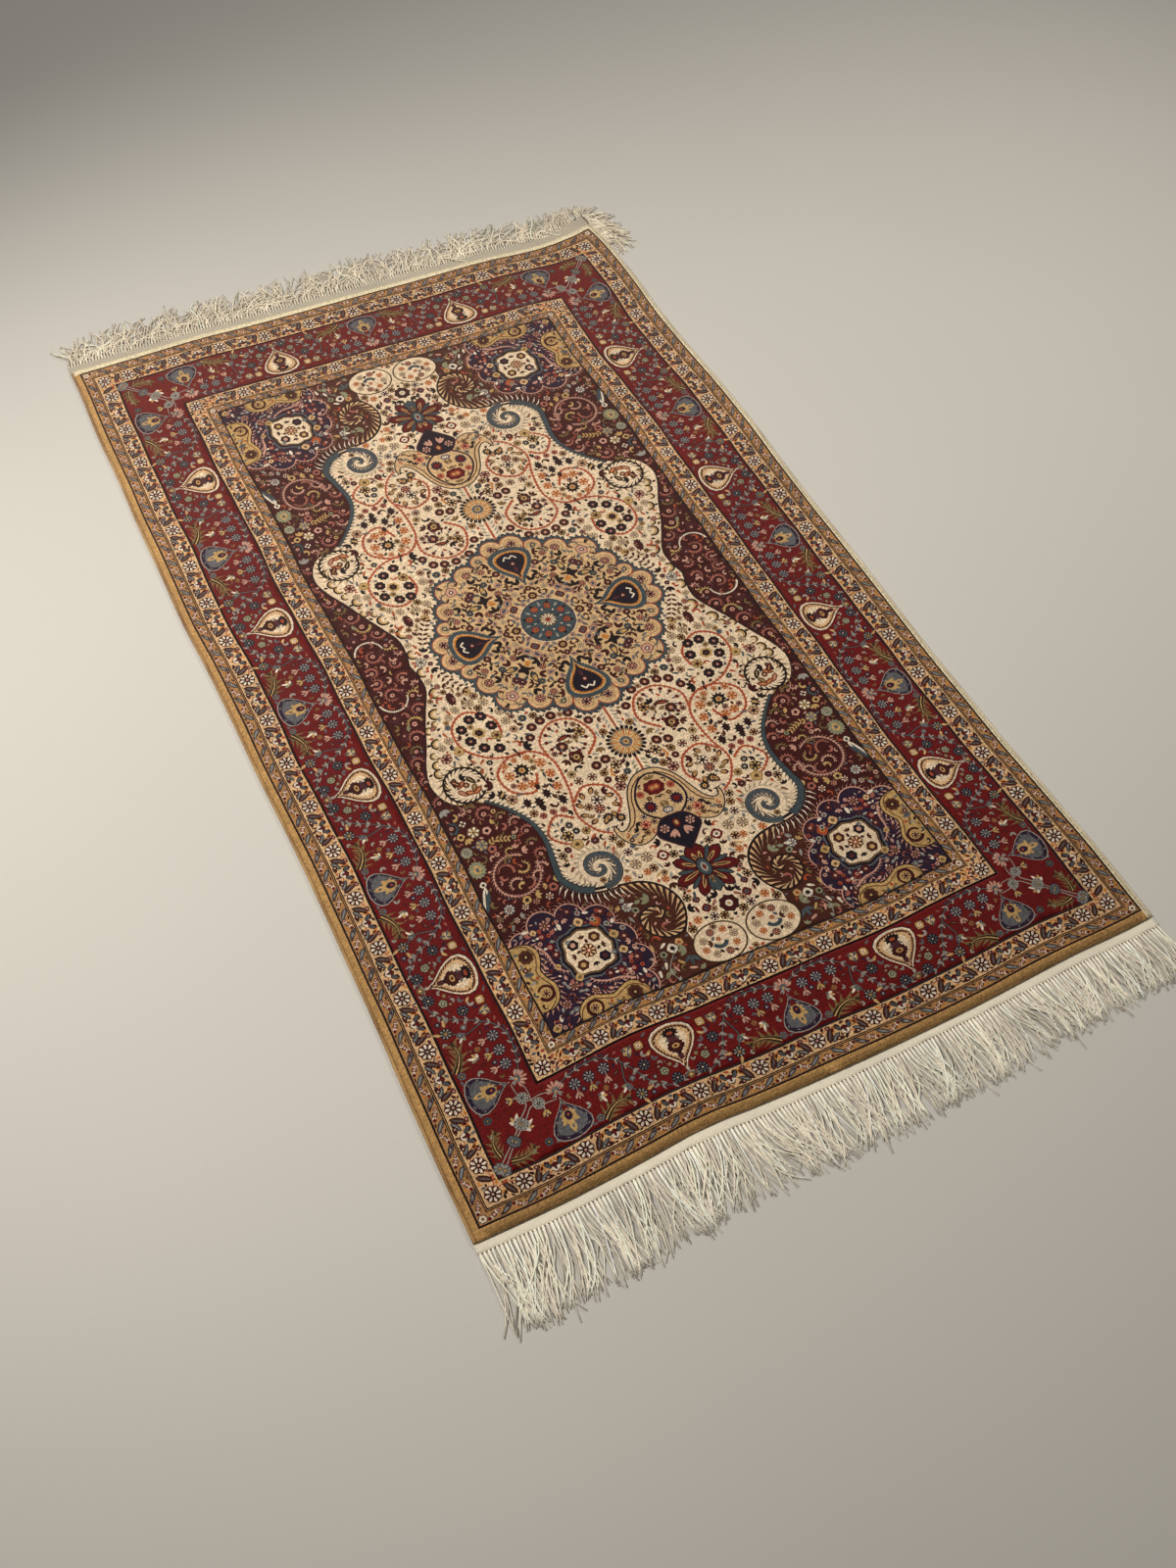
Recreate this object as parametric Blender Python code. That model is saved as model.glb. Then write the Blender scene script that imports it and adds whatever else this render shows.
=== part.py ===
"""A knotted silk rug lying flat: the knotted cloth, its two overcast sides, a flat-woven heading at each
end, and the loose warp ends beyond each heading as a fringe.

Frame: origin on the underside at the middle of the knotted cloth, +X across it, +Y along it towards the far
end, +Z up. The underside of every piece is at z = 0. Lengths are in metres.
"""

import math
from collections import namedtuple

import bmesh
import bpy
from mathutils import Vector

MM = 0.001

# Driving sizes of the cloth
HALF_WIDTH = 456 * MM
HALF_LENGTH = 758 * MM
CLOTH_THICKNESS = 5 * MM
SEAM = 0.3 * MM  # what is left open between two pieces that meet

# The overcast side: a cord with a flat foot, round on its outer side
SELVEDGE_WIDTH = 4 * MM
SELVEDGE_HEIGHT = 4.4 * MM
SELVEDGE_ARC_STEPS = 4

# The flat-woven heading at each end, and the row of knots that the fringe hangs from
HEADING_THICKNESS = 1.8 * MM
KNOT_ROW_DEPTH = 3 * MM
STRAND_HEIGHT = 2.2 * MM
STRAND_WIDTH = 3 * MM
STRAND_TIP_SHARE = 0.6  # a strand's width at its tip, as a share of its width at the root
STRANDS_PER_END = 108
STRAND_STEPS = (0.14, 0.55, 1.0)  # shares of a strand's length at which it has a section
LENGTH_RIPPLE = 5 * MM  # how unevenly the tips were cut
LEAN_RIPPLE = 1.2  # degrees
FAR_TURN_STRANDS = 12  # of the far fringe's strands, those round its turned corner
TURN_START = 439 * MM  # how far along the far end the plain strands reach

OUTLINE_STEPS_ACROSS = 24
OUTLINE_STEPS_ALONG = 40

# How far the cloth's sides bulge past the nominal half width, in mm, at points along its length
Side = namedtuple("Side", "y left right")
SIDES = (
    Side(-758, 0, -1),
    Side(-650, 0, 0),
    Side(-560, -1, -3),
    Side(-470, -3, -6.5),
    Side(-380, -3.5, -7),
    Side(-290, -4, -8),
    Side(-190, -3, -5.5),
    Side(-90, -0.5, -3.5),
    Side(10, 0, -3),
    Side(100, 1.5, -1),
    Side(200, 5.5, 3.5),
    Side(290, 4.5, 4),
    Side(400, 5, 1),
    Side(500, 3, 0),
    Side(600, 4, 5),
    Side(700, 1, 5),
    Side(758, 1, -1),
)

# How far the cloth's ends bulge past the nominal half length, in mm, at points across its width
End = namedtuple("End", "x far near")
ENDS = (
    End(-456, -1, -2),
    End(-350, 1, 0),
    End(-250, 3, -3),
    End(-175, 0, -7),
    End(-100, -1, -2),
    End(0, -2, 2),
    End(100, -4, 4),
    End(200, -4, 4),
    End(260, -5, 2),
    End(340, -12, 0),
    End(400, -6, 1),
    End(430, 0, 1),
    End(456, 8, 0),
)

# The headings' widths in mm, at points across the cloth
Heading = namedtuple("Heading", "x far near")
HEADINGS = (
    Heading(-456, 17, 12),
    Heading(-300, 15, 13),
    Heading(-150, 16, 13),
    Heading(0, 17, 12),
    Heading(150, 17, 11),
    Heading(300, 20, 13),
    Heading(400, 21, 13),
    Heading(456, 24, 14),
)

# The lie of the strands: how far they lean towards +X in degrees, how much they bend back on the way to
# their tips, and how long they are in mm
Lie = namedtuple("Lie", "x lean bend length")
NEAR_LIE = (
    Lie(-456, -9, 6, 92),
    Lie(-400, 2, -8, 92),
    Lie(-330, 5, -12, 88),
    Lie(-250, 0, 10, 86),
    Lie(-170, 5, -9, 84),
    Lie(-80, 2, 6, 81),
    Lie(20, 6, -8, 79),
    Lie(120, 3, 6, 78),
    Lie(220, 7, -8, 74),
    Lie(320, 4, 6, 70),
    Lie(456, 6, -4, 68),
)
FAR_LIE = (
    Lie(-456, 22, 12, 52),
    Lie(-390, 38, 14, 70),
    Lie(-300, 40, 0, 74),
    Lie(-200, 32, 8, 72),
    Lie(-90, 26, 10, 72),
    Lie(30, 34, 6, 74),
    Lie(150, 40, 6, 72),
    Lie(270, 40, 4, 70),
    Lie(370, 30, 4, 62),
    Lie(430, 16, 2, 50),
)

# At the far corner on the right the heading is turned under, and the knot row goes on round the corner and
# down the side, where its strands fan out. Each row is a point of the knot row, with its strands' direction
# in degrees from +X and their length
Turn = namedtuple("Turn", "x y toward length")
FAR_TURN = (
    Turn(445, 790, 68, 36),
    Turn(453, 795, 56, 36),
    Turn(459.5, 795, 40, 38),
    Turn(462, 787, 18, 44),
    Turn(461, 772, -4, 50),
    Turn(460.5, 755, -18, 56),
    Turn(463, 735, -30, 60),
    Turn(466, 708, -44, 54),
)


def smooth_at(rows, column, place):
    """The column's value at a place, on one smooth curve through the rows. The first column is the place."""
    places = [row[0] for row in rows]
    values = [getattr(row, column) for row in rows]
    place = min(max(place, places[0]), places[-1])
    last = len(rows) - 2
    index = min(sum(place >= p for p in places[1:-1]), last)

    def slope(i):
        low, high = max(i - 1, 0), min(i + 1, last + 1)
        return (values[high] - values[low]) / (places[high] - places[low])

    span = places[index + 1] - places[index]
    t = (place - places[index]) / span
    start_part = (1 + 2 * t) * (1 - t) ** 2 * values[index]
    end_part = t * t * (3 - 2 * t) * values[index + 1]
    slopes_part = t * (1 - t) * span * ((1 - t) * slope(index) - t * slope(index + 1))
    return start_part + end_part + slopes_part


def in_mm(rows, column, place):
    """As smooth_at, for a place and a value in metres and a table in mm."""
    return smooth_at(rows, column, place / MM) * MM


def spread(low, high, count):
    """Even places from low to high, both included."""
    return [low + (high - low) * i / count for i in range(count + 1)]


def on_stations(rows, column, place, half, count):
    """As in_mm, but straight between even stations from -half to half. Pieces that meet have their corners
    at the same stations, so the seam between them is as wide everywhere."""
    at = min(max((place + half) / (2 * half) * count, 0), count)
    index = min(int(at), count - 1)
    stations = (2 * half * i / count - half for i in (index, index + 1))
    low, high = (in_mm(rows, column, station) for station in stations)
    return low + (high - low) * (at - index)


def on_cloth(x, y):
    """Where a point of the nominal rectangle lies on the cloth as it has stretched."""
    across = (x + HALF_WIDTH) / (2 * HALF_WIDTH)
    along = (y + HALF_LENGTH) / (2 * HALF_LENGTH)
    left = -HALF_WIDTH - on_stations(SIDES, "left", y, HALF_LENGTH, OUTLINE_STEPS_ALONG)
    right = HALF_WIDTH + on_stations(SIDES, "right", y, HALF_LENGTH, OUTLINE_STEPS_ALONG)
    near = -HALF_LENGTH - on_stations(ENDS, "near", x, HALF_WIDTH, OUTLINE_STEPS_ACROSS)
    far = HALF_LENGTH + on_stations(ENDS, "far", x, HALF_WIDTH, OUTLINE_STEPS_ACROSS)
    return Vector((left + (right - left) * across, near + (far - near) * along))


def new_material(name, colour, roughness):
    material = bpy.data.materials.new(name)
    material.use_nodes = True
    shader = material.node_tree.nodes["Principled BSDF"]
    shader.inputs["Base Color"].default_value = (*colour, 1)
    shader.inputs["Roughness"].default_value = roughness
    shader.inputs["Metallic"].default_value = 0
    return material


def add_object(name, bm, material, parent):
    """An object of a finished mesh, with its faces pointing out."""
    bmesh.ops.recalc_face_normals(bm, faces=bm.faces)
    mesh = bpy.data.meshes.new(name)
    bm.to_mesh(mesh)
    bm.free()
    mesh.materials.append(material)
    piece = bpy.data.objects.new(name, mesh)
    bpy.context.scene.collection.objects.link(piece)
    piece.parent = parent
    return piece


def bridge(bm, lower, upper):
    """Faces between two rings of as many points each."""
    for i in range(len(lower)):
        bm.faces.new((lower[i - 1], lower[i], upper[i], upper[i - 1]))


def plate(name, outline, thickness, material, parent):
    """A flat plate on z = 0 with the given outline."""
    bm = bmesh.new()
    foot = [bm.verts.new((p.x, p.y, 0)) for p in outline]
    top = [bm.verts.new((p.x, p.y, thickness)) for p in outline]
    bm.faces.new(foot)
    bm.faces.new(top)
    bridge(bm, foot, top)
    return add_object(name, bm, material, parent)


def knotted_cloth(material, parent):
    """The knotted cloth, with the stretched outline that it has between its overcast sides."""
    inset = SELVEDGE_WIDTH + SEAM
    across = spread(-HALF_WIDTH, HALF_WIDTH, OUTLINE_STEPS_ACROSS)
    across[0] += inset
    across[-1] -= inset
    along = spread(-HALF_LENGTH, HALF_LENGTH, OUTLINE_STEPS_ALONG)
    near = [on_cloth(x, -HALF_LENGTH) for x in across]
    right = [on_cloth(HALF_WIDTH, y) - Vector((inset, 0)) for y in along[1:-1]]
    far = [on_cloth(x, HALF_LENGTH) for x in reversed(across)]
    left = [on_cloth(-HALF_WIDTH, y) + Vector((inset, 0)) for y in reversed(along[1:-1])]
    return plate("rug_body", near + right + far + left, CLOTH_THICKNESS, material, parent)


def selvedge(name, side, material, parent):
    """The overcast cord along one side of the cloth: side is -1 for the left and 1 for the right."""
    profile = [(SELVEDGE_WIDTH, 0), (SELVEDGE_WIDTH, SELVEDGE_HEIGHT)]
    for i in range(1, SELVEDGE_ARC_STEPS + 1):
        turn = math.pi / 2 * i / (SELVEDGE_ARC_STEPS + 1)
        profile.append((SELVEDGE_WIDTH * (1 - math.sin(turn)), SELVEDGE_HEIGHT * math.cos(turn)))
    profile.append((0, 0))
    bm = bmesh.new()
    rings = []
    for y in spread(-HALF_LENGTH, HALF_LENGTH, OUTLINE_STEPS_ALONG):
        edge = on_cloth(side * HALF_WIDTH, y).x
        ring = []
        for inward, z in profile:
            level = on_cloth(side * (HALF_WIDTH - inward), y).y
            ring.append(bm.verts.new((edge - side * inward, level, z)))
        rings.append(ring)
    for lower, upper in zip(rings, rings[1:]):
        bridge(bm, lower, upper)
    bm.faces.new(rings[0])
    bm.faces.new(rings[-1])
    return add_object(name, bm, material, parent)


def heading_edge(end, x):
    """A point of a heading's outer edge: end is -1 for the near end and 1 for the far one."""
    column = "far" if end > 0 else "near"
    edge = on_cloth(x, end * HALF_LENGTH)
    return edge + Vector((0, end * in_mm(HEADINGS, column, x)))


def root_places(count):
    """Evenly spread places across the cloth, at which the strands of one end have their roots."""
    return [HALF_WIDTH * (2 * (i + 0.5) / count - 1) for i in range(count)]


def heading(name, end, material, parent):
    """The flat-woven band beyond one end of the cloth, across the full width with the overcast sides."""
    across = spread(-HALF_WIDTH, HALF_WIDTH, OUTLINE_STEPS_ACROSS)
    inner = [on_cloth(x, end * HALF_LENGTH) + Vector((0, end * SEAM)) for x in across]
    places = [-HALF_WIDTH] + root_places(STRANDS_PER_END) + [HALF_WIDTH]
    outer = [heading_edge(end, x) for x in reversed(places)]
    return plate(name, inner + outer, HEADING_THICKNESS, material, parent)


def ripple(number):
    """An uneven but smooth value from -1 to 1 that differs from strand to strand."""
    return 0.6 * math.sin(number * 0.83 + 1.1) + 0.4 * math.sin(number * 2.31 + 0.4)


Strand = namedtuple("Strand", "root out toward bend length")


def plain_strands(end, rows, reach):
    """The strands in front of a straight heading, left to right, as far as reach."""
    strands = []
    for i, x in enumerate(root_places(STRANDS_PER_END)):
        root = heading_edge(end, x) + Vector((0, end * (KNOT_ROW_DEPTH + SEAM)))
        lean = smooth_at(rows, "lean", x / MM) + LEAN_RIPPLE * ripple(i)
        toward = end * 90 - end * lean
        bend = -end * smooth_at(rows, "bend", x / MM)
        length = in_mm(rows, "length", x) + LENGTH_RIPPLE * ripple(3 * i + 5)
        if x < reach:
            strands.append(Strand(root, end * 90, toward, bend, length))
    return strands


def turned_strands(rows, count):
    """The strands round the turned corner, in the order of the far end."""
    places = [0.0]
    for low, high in zip(rows, rows[1:]):
        places.append(places[-1] + math.hypot(high.x - low.x, high.y - low.y))
    Point = namedtuple("Point", "place x y toward length")
    track = [Point(place, *row) for place, row in zip(places, rows)]
    strands = []
    for i in range(count):
        place = places[-1] * i / (count - 1)
        root = Vector((smooth_at(track, "x", place), smooth_at(track, "y", place)))
        before = Vector((smooth_at(track, "x", place - 1), smooth_at(track, "y", place - 1)))
        after = Vector((smooth_at(track, "x", place + 1), smooth_at(track, "y", place + 1)))
        run = (after - before).normalized()
        out = math.degrees(math.atan2(run.x, -run.y))
        toward = smooth_at(track, "toward", place)
        length = smooth_at(track, "length", place) * MM + LENGTH_RIPPLE * ripple(i)
        strands.append(Strand(root * MM, out, toward, 0, length))
    return strands


def strand_sections(strand):
    """The share, the middle and the direction of each of a strand's sections beyond its root."""
    place = strand.root.copy()
    before = 0.0
    for share in STRAND_STEPS:
        middle = (before + share) / 2
        settled = min(1.0, middle * 2.5)
        angle = strand.out + (strand.toward - strand.out) * settled + strand.bend * middle
        way = Vector((math.cos(math.radians(angle)), math.sin(math.radians(angle))))
        place = place + way * strand.length * (share - before)
        before = share
        yield share, place, way


def fringe(name, strands, material, parent):
    """The knot row, a narrow strip, with its strands standing out of its front. A strand has three sides and
    lies on one of them."""
    bm = bmesh.new()

    def corner(point, z):
        return bm.verts.new((point.x, point.y, z))

    outs = [Vector((math.cos(math.radians(s.out)), math.sin(math.radians(s.out)))) for s in strands]
    rights = [Vector((out.y, -out.x)) for out in outs]
    if rights[0].x < 0:
        rights = [-right for right in rights]
    back_foot, back_top, left_foot, right_foot, crest = [], [], [], [], []
    for strand, out, right in zip(strands, outs, rights):
        back = strand.root - out * KNOT_ROW_DEPTH
        half = right * STRAND_WIDTH / 2
        back_foot.append(corner(back, 0))
        back_top.append(corner(back, STRAND_HEIGHT))
        left_foot.append(corner(strand.root - half, 0))
        right_foot.append(corner(strand.root + half, 0))
        crest.append(corner(strand.root, STRAND_HEIGHT))

    # The knot row between each strand and the next
    for i in range(len(strands) - 1):
        j = i + 1
        bm.faces.new((back_top[i], back_top[j], crest[j], crest[i]))
        bm.faces.new((back_foot[i], back_foot[j], left_foot[j], right_foot[i]))
        bm.faces.new((back_foot[i], back_foot[j], back_top[j], back_top[i]))
        bm.faces.new((right_foot[i], left_foot[j], crest[j], crest[i]))
    for foot, left, right in zip(back_foot, left_foot, right_foot):
        bm.faces.new((foot, left, right))
    bm.faces.new((back_foot[0], back_top[0], crest[0], left_foot[0]))
    bm.faces.new((back_foot[-1], back_top[-1], crest[-1], right_foot[-1]))

    # The strands
    for i, strand in enumerate(strands):
        ring = [left_foot[i], right_foot[i], crest[i]]
        for share, place, way in strand_sections(strand):
            aside = Vector((way.y, -way.x))
            if aside.dot(rights[i]) < 0:
                aside = -aside
            half = aside * STRAND_WIDTH / 2 * (1 - (1 - STRAND_TIP_SHARE) * share)
            next_ring = [
                corner(place - half, 0),
                corner(place + half, 0),
                corner(place, STRAND_HEIGHT),
            ]
            bridge(bm, ring, next_ring)
            ring = next_ring
        bm.faces.new(ring)
    return add_object(name, bm, material, parent)


def main():
    for old in list(bpy.data.objects):
        bpy.data.objects.remove(old)

    rug = bpy.data.objects.new("rug", None)
    bpy.context.scene.collection.objects.link(rug)
    pile = new_material("silk_pile", (0.34, 0.13, 0.08), 0.55)
    overcast = new_material("gold_silk", (0.62, 0.43, 0.17), 0.5)
    warp = new_material("pale_warp", (0.74, 0.7, 0.6), 0.7)

    knotted_cloth(pile, rug)
    selvedge("selvedge_left", -1, overcast, rug)
    selvedge("selvedge_right", 1, overcast, rug)
    heading("heading_near", -1, warp, rug)
    heading("heading_far", 1, warp, rug)
    fringe("fringe_near", plain_strands(-1, NEAR_LIE, HALF_WIDTH), warp, rug)
    far_strands = plain_strands(1, FAR_LIE, TURN_START) + turned_strands(FAR_TURN, FAR_TURN_STRANDS)
    fringe("fringe_far", far_strands, warp, rug)


main()
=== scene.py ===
"""The looks of the silk rug: its pattern, knot by knot in colour, its edges, headings and fringe, and the light."""

import math
import random

import bmesh
import bpy
import numpy as np
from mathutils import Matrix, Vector
from mathutils.geometry import delaunay_2d_cdt


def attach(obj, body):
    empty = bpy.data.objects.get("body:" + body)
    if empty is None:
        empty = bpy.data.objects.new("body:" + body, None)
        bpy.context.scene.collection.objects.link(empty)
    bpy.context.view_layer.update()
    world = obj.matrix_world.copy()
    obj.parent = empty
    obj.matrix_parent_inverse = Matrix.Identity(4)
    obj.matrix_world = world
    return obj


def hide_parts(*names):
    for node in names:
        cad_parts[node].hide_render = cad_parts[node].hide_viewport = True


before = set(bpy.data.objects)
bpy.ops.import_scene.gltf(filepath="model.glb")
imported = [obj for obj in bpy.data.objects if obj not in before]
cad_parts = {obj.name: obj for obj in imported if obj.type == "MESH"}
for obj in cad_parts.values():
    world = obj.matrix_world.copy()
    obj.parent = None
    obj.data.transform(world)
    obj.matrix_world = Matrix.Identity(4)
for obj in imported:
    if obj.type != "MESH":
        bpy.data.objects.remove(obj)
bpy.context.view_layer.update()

MM = 0.001

# Sizes shared with the solids, in mm
HALF_WIDTH = 456
HALF_LENGTH = 758
SELVEDGE_WIDTH = 4
PILE_TOP = 5.0
STATIONS_ACROSS = 24
STATIONS_ALONG = 40
SIDES = (  # along the rug: how far the left and the right side bulge out
    (-758, 0, -1), (-650, 0, 0), (-560, -1, -3), (-470, -3, -6.5), (-380, -3.5, -7), (-290, -4, -8), (-190, -3, -5.5),
    (-90, -0.5, -3.5), (10, 0, -3), (100, 1.5, -1), (200, 5.5, 3.5), (290, 4.5, 4), (400, 5, 1), (500, 3, 0),
    (600, 4, 5), (700, 1, 5), (758, 1, -1),
)
ENDS = (  # across the rug: how far the far and the near end bulge out
    (-456, -1, -2), (-350, 1, 0), (-250, 3, -3), (-175, 0, -7), (-100, -1, -2), (0, -2, 2), (100, -4, 4), (200, -4, 4),
    (260, -5, 2), (340, -12, 0), (400, -6, 1), (430, 0, 1), (456, 8, 0),
)
HEADINGS = (  # across the rug: the far and the near heading's width
    (-456, 17, 12), (-300, 15, 13), (-150, 16, 13), (0, 17, 12), (150, 17, 11), (300, 20, 13), (400, 21, 13),
    (456, 24, 14),
)

TURN_START = 439
NEAR_LIE = (  # across the rug: the near strands' lean towards +x, their bend, both in degrees, and length
    (-456, -9, 6, 92), (-400, 2, -8, 92), (-330, 5, -12, 88), (-250, 0, 10, 86), (-170, 5, -9, 84), (-80, 2, 6, 81),
    (20, 6, -8, 79), (120, 3, 6, 78), (220, 7, -8, 74), (320, 4, 6, 70), (456, 6, -4, 68),
)
FAR_LIE = (  # the same for the far strands
    (-456, 22, 12, 52), (-390, 38, 14, 70), (-300, 40, 0, 74), (-200, 32, 8, 72), (-90, 26, 10, 72), (30, 34, 6, 74),
    (150, 40, 6, 72), (270, 40, 4, 70), (370, 30, 4, 62), (430, 16, 2, 50),
)
FAR_TURN = (  # round the far corner on the right: x and y of the knot row, direction in degrees, and length
    (445, 790, 68, 36), (453, 795, 52, 36), (459.5, 795, 26, 36), (462, 787, -6, 40), (461, 772, -34, 46),
    (460.5, 755, -50, 50), (463, 735, -60, 52), (466, 708, -68, 46),
)


def smooth_at(rows, column, place):
    """The column's value at the place, on a smooth line through the rows."""
    places = [row[0] for row in rows]
    values = [row[column] for row in rows]
    place = min(max(place, places[0]), places[-1])
    last = len(rows) - 2
    index = min(sum(place >= p for p in places[1:-1]), last)

    def slope(i):
        low, high = max(i - 1, 0), min(i + 1, last + 1)
        return (values[high] - values[low]) / (places[high] - places[low])

    span = places[index + 1] - places[index]
    t = (place - places[index]) / span
    start_part = (1 + 2 * t) * (1 - t) ** 2 * values[index]
    end_part = t * t * (3 - 2 * t) * values[index + 1]
    slopes_part = t * (1 - t) * span * ((1 - t) * slope(index) - t * slope(index + 1))
    return start_part + end_part + slopes_part


def station_line(rows, column, half, count):
    """The stations from -half to half and the column's values there."""
    places = np.linspace(-half, half, count + 1)
    return places, np.array([smooth_at(rows, column, p) for p in places])


LEFT = station_line(SIDES, 1, HALF_LENGTH, STATIONS_ALONG)
RIGHT = station_line(SIDES, 2, HALF_LENGTH, STATIONS_ALONG)
FAR = station_line(ENDS, 1, HALF_WIDTH, STATIONS_ACROSS)
NEAR = station_line(ENDS, 2, HALF_WIDTH, STATIONS_ACROSS)


def on_cloth(x, y):
    """Where points of the nominal rectangle lie on the cloth as it has stretched."""
    x, y = np.asarray(x, float), np.asarray(y, float)
    across = (x + HALF_WIDTH) / (2 * HALF_WIDTH)
    along = (y + HALF_LENGTH) / (2 * HALF_LENGTH)
    left = -HALF_WIDTH - np.interp(y, *LEFT)
    right = HALF_WIDTH + np.interp(y, *RIGHT)
    near = -HALF_LENGTH - np.interp(x, *NEAR)
    far = HALF_LENGTH + np.interp(x, *FAR)
    return left + (right - left) * across, near + (far - near) * along


FIELD_HALF = 277
PALE_EDGE = 8.5  # the gold edge's width at the right side and the far end
BEYOND = 2000  # past the other edge of the rug


def woven(x, y):
    """on_cloth for the pattern: its middle sits a little off the cloth's, its lines aren't quite straight, and its
    gold edge is narrower at the right side and the far end."""
    drawn, laid = (SELVEDGE_WIDTH, EDGE_LINE, RED, BEYOND), (SELVEDGE_WIDTH, PALE_EDGE, RED, BEYOND)
    x = HALF_WIDTH - np.interp(HALF_WIDTH - x, (0, *drawn), (0, *laid))
    y = HALF_LENGTH - np.interp(HALF_LENGTH - y, (0, *drawn[1:]), (0, *laid[1:]))
    shift_x = -5 * np.clip(1 - (x / FIELD_HALF) ** 2, 0, 1)
    shift_y = -13 * (1 - (y / HALF_LENGTH) ** 2)
    edge = np.clip(np.minimum(HALF_WIDTH - np.abs(x), HALF_LENGTH - np.abs(y)) / 40, 0, 1)
    wave_x = 0.9 * np.sin(y / 47 + 0.6) + 0.5 * np.sin(y / 19 + x / 33 + 2.1)
    wave_y = 0.9 * np.sin(x / 41 + 1.3) + 0.5 * np.sin(x / 23 - y / 37 + 0.4)
    return on_cloth(x + shift_x + edge * wave_x, y + shift_y + edge * wave_y)


# Dyes
DYES = {
    "gold": (202, 154, 92),
    "pale_gold": (255, 236, 192),
    "ochre": (182, 132, 80),
    "cream": (228, 182, 130),
    "ivory": (246, 217, 178),
    "sand": (220, 180, 128),
    "brick": (110, 14, 9),
    "wine": (96, 14, 12),
    "maroon": (66, 16, 10),
    "chocolate": (78, 36, 20),
    "teal": (66, 76, 78),
    "slate": (100, 98, 98),
    "mist": (160, 152, 138),
    "indigo": (44, 24, 44),
    "navy": (26, 16, 28),
    "dark": (30, 14, 12),
    "plum": (84, 38, 40),
    "rust": (176, 78, 44),
    "orange": (204, 128, 52),
    "yellow": (202, 160, 98),
    "pink": (174, 100, 82),
    "rose": (210, 154, 130),
    "olive": (128, 98, 56),
    "sage": (146, 142, 108),
    "white": (242, 222, 194),
}
DYE_NUMBER = {name: i for i, name in enumerate(DYES)}


# Outlines, in mm
def turned(points, degrees, x=0.0, y=0.0, size=1.0):
    """The points made larger by size, turned and then moved to (x, y)."""
    c, s = math.cos(math.radians(degrees)) * size, math.sin(math.radians(degrees)) * size
    return [(x + c * px - s * py, y + s * px + c * py) for px, py in points]


def oval(rx, ry, count=10, x=0.0, y=0.0, turn=0.0):
    """An oval of count corners round (x, y)."""
    points = [(rx * math.cos(2 * math.pi * i / count), ry * math.sin(2 * math.pi * i / count)) for i in range(count)]
    return turned(points, turn, x, y)


def petal(start, length, width, blunt=0.5):
    """A pointed oval along +x, widest at the share blunt of its length. A small one has fewer corners."""
    half = width / 2
    if length < 5.2:
        shares = ((0.0, 0.0), (blunt + 0.12, 1.0), (1.0, 0.0))
    elif length < 9.5:
        shares = ((0.0, 0.0), (blunt * 0.75, 0.95), (blunt + (1 - blunt) * 0.5, 0.8), (1.0, 0.0))
    else:
        shares = ((0.0, 0.0), (blunt * 0.45, 0.8), (blunt, 1.0), (blunt + (1 - blunt) * 0.6, 0.72), (1.0, 0.0))
    upper = [(start + length * a, half * b) for a, b in shares]
    return upper + [(px, -py) for px, py in reversed(upper[1:-1])]


def curve(points, step=4.0, closed=False):
    """A smooth line through the points, with a corner about every step."""
    pts = [Vector(p) for p in points]
    count = len(pts)
    out = []
    for i in range(count if closed else count - 1):
        if closed:
            a, b, c, d = (pts[(i + k) % count] for k in (-1, 0, 1, 2))
        else:
            a, b, c, d = pts[max(i - 1, 0)], pts[i], pts[i + 1], pts[min(i + 2, count - 1)]
        parts = max(1, round((c - b).length / step))
        for k in range(parts):
            t = k / parts
            p = 0.5 * (2 * b + (c - a) * t + (2 * a - 5 * b + 4 * c - d) * t * t + (3 * b - a - 3 * c + d) * t ** 3)
            out.append((p.x, p.y))
    if not closed:
        out.append(tuple(pts[-1]))
    return out


def arc(x, y, r, start, end, step=4.0, r_end=None):
    """Part of a circle or spiral round (x, y), in degrees."""
    r_end = r if r_end is None else r_end
    parts = max(3, round(abs(math.radians(end - start)) * (r + r_end) / 2 / step))
    out = []
    for i in range(parts + 1):
        t = i / parts
        a = math.radians(start + (end - start) * t)
        rr = r + (r_end - r) * t
        out.append((x + rr * math.cos(a), y + rr * math.sin(a)))
    return out


def normals(path):
    """The direction to the left of the line at each of its corners."""
    out = []
    for i in range(len(path)):
        a, b = path[max(i - 1, 0)], path[min(i + 1, len(path) - 1)]
        dx, dy = b[0] - a[0], b[1] - a[1]
        length = math.hypot(dx, dy) or 1.0
        out.append((-dy / length, dx / length))
    return out


def ribbon(dye, path, width, end_width=None):
    """A line of the given width, as one patch."""
    end_width = width if end_width is None else end_width
    last = len(path) - 1
    left, right = [], []
    for i, ((x, y), (nx, ny)) in enumerate(zip(path, normals(path))):
        h = (width + (end_width - width) * i / last) / 2
        left.append((x + nx * h, y + ny * h))
        right.append((x - nx * h, y - ny * h))
    return [(dye, right + left[::-1])]


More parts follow.
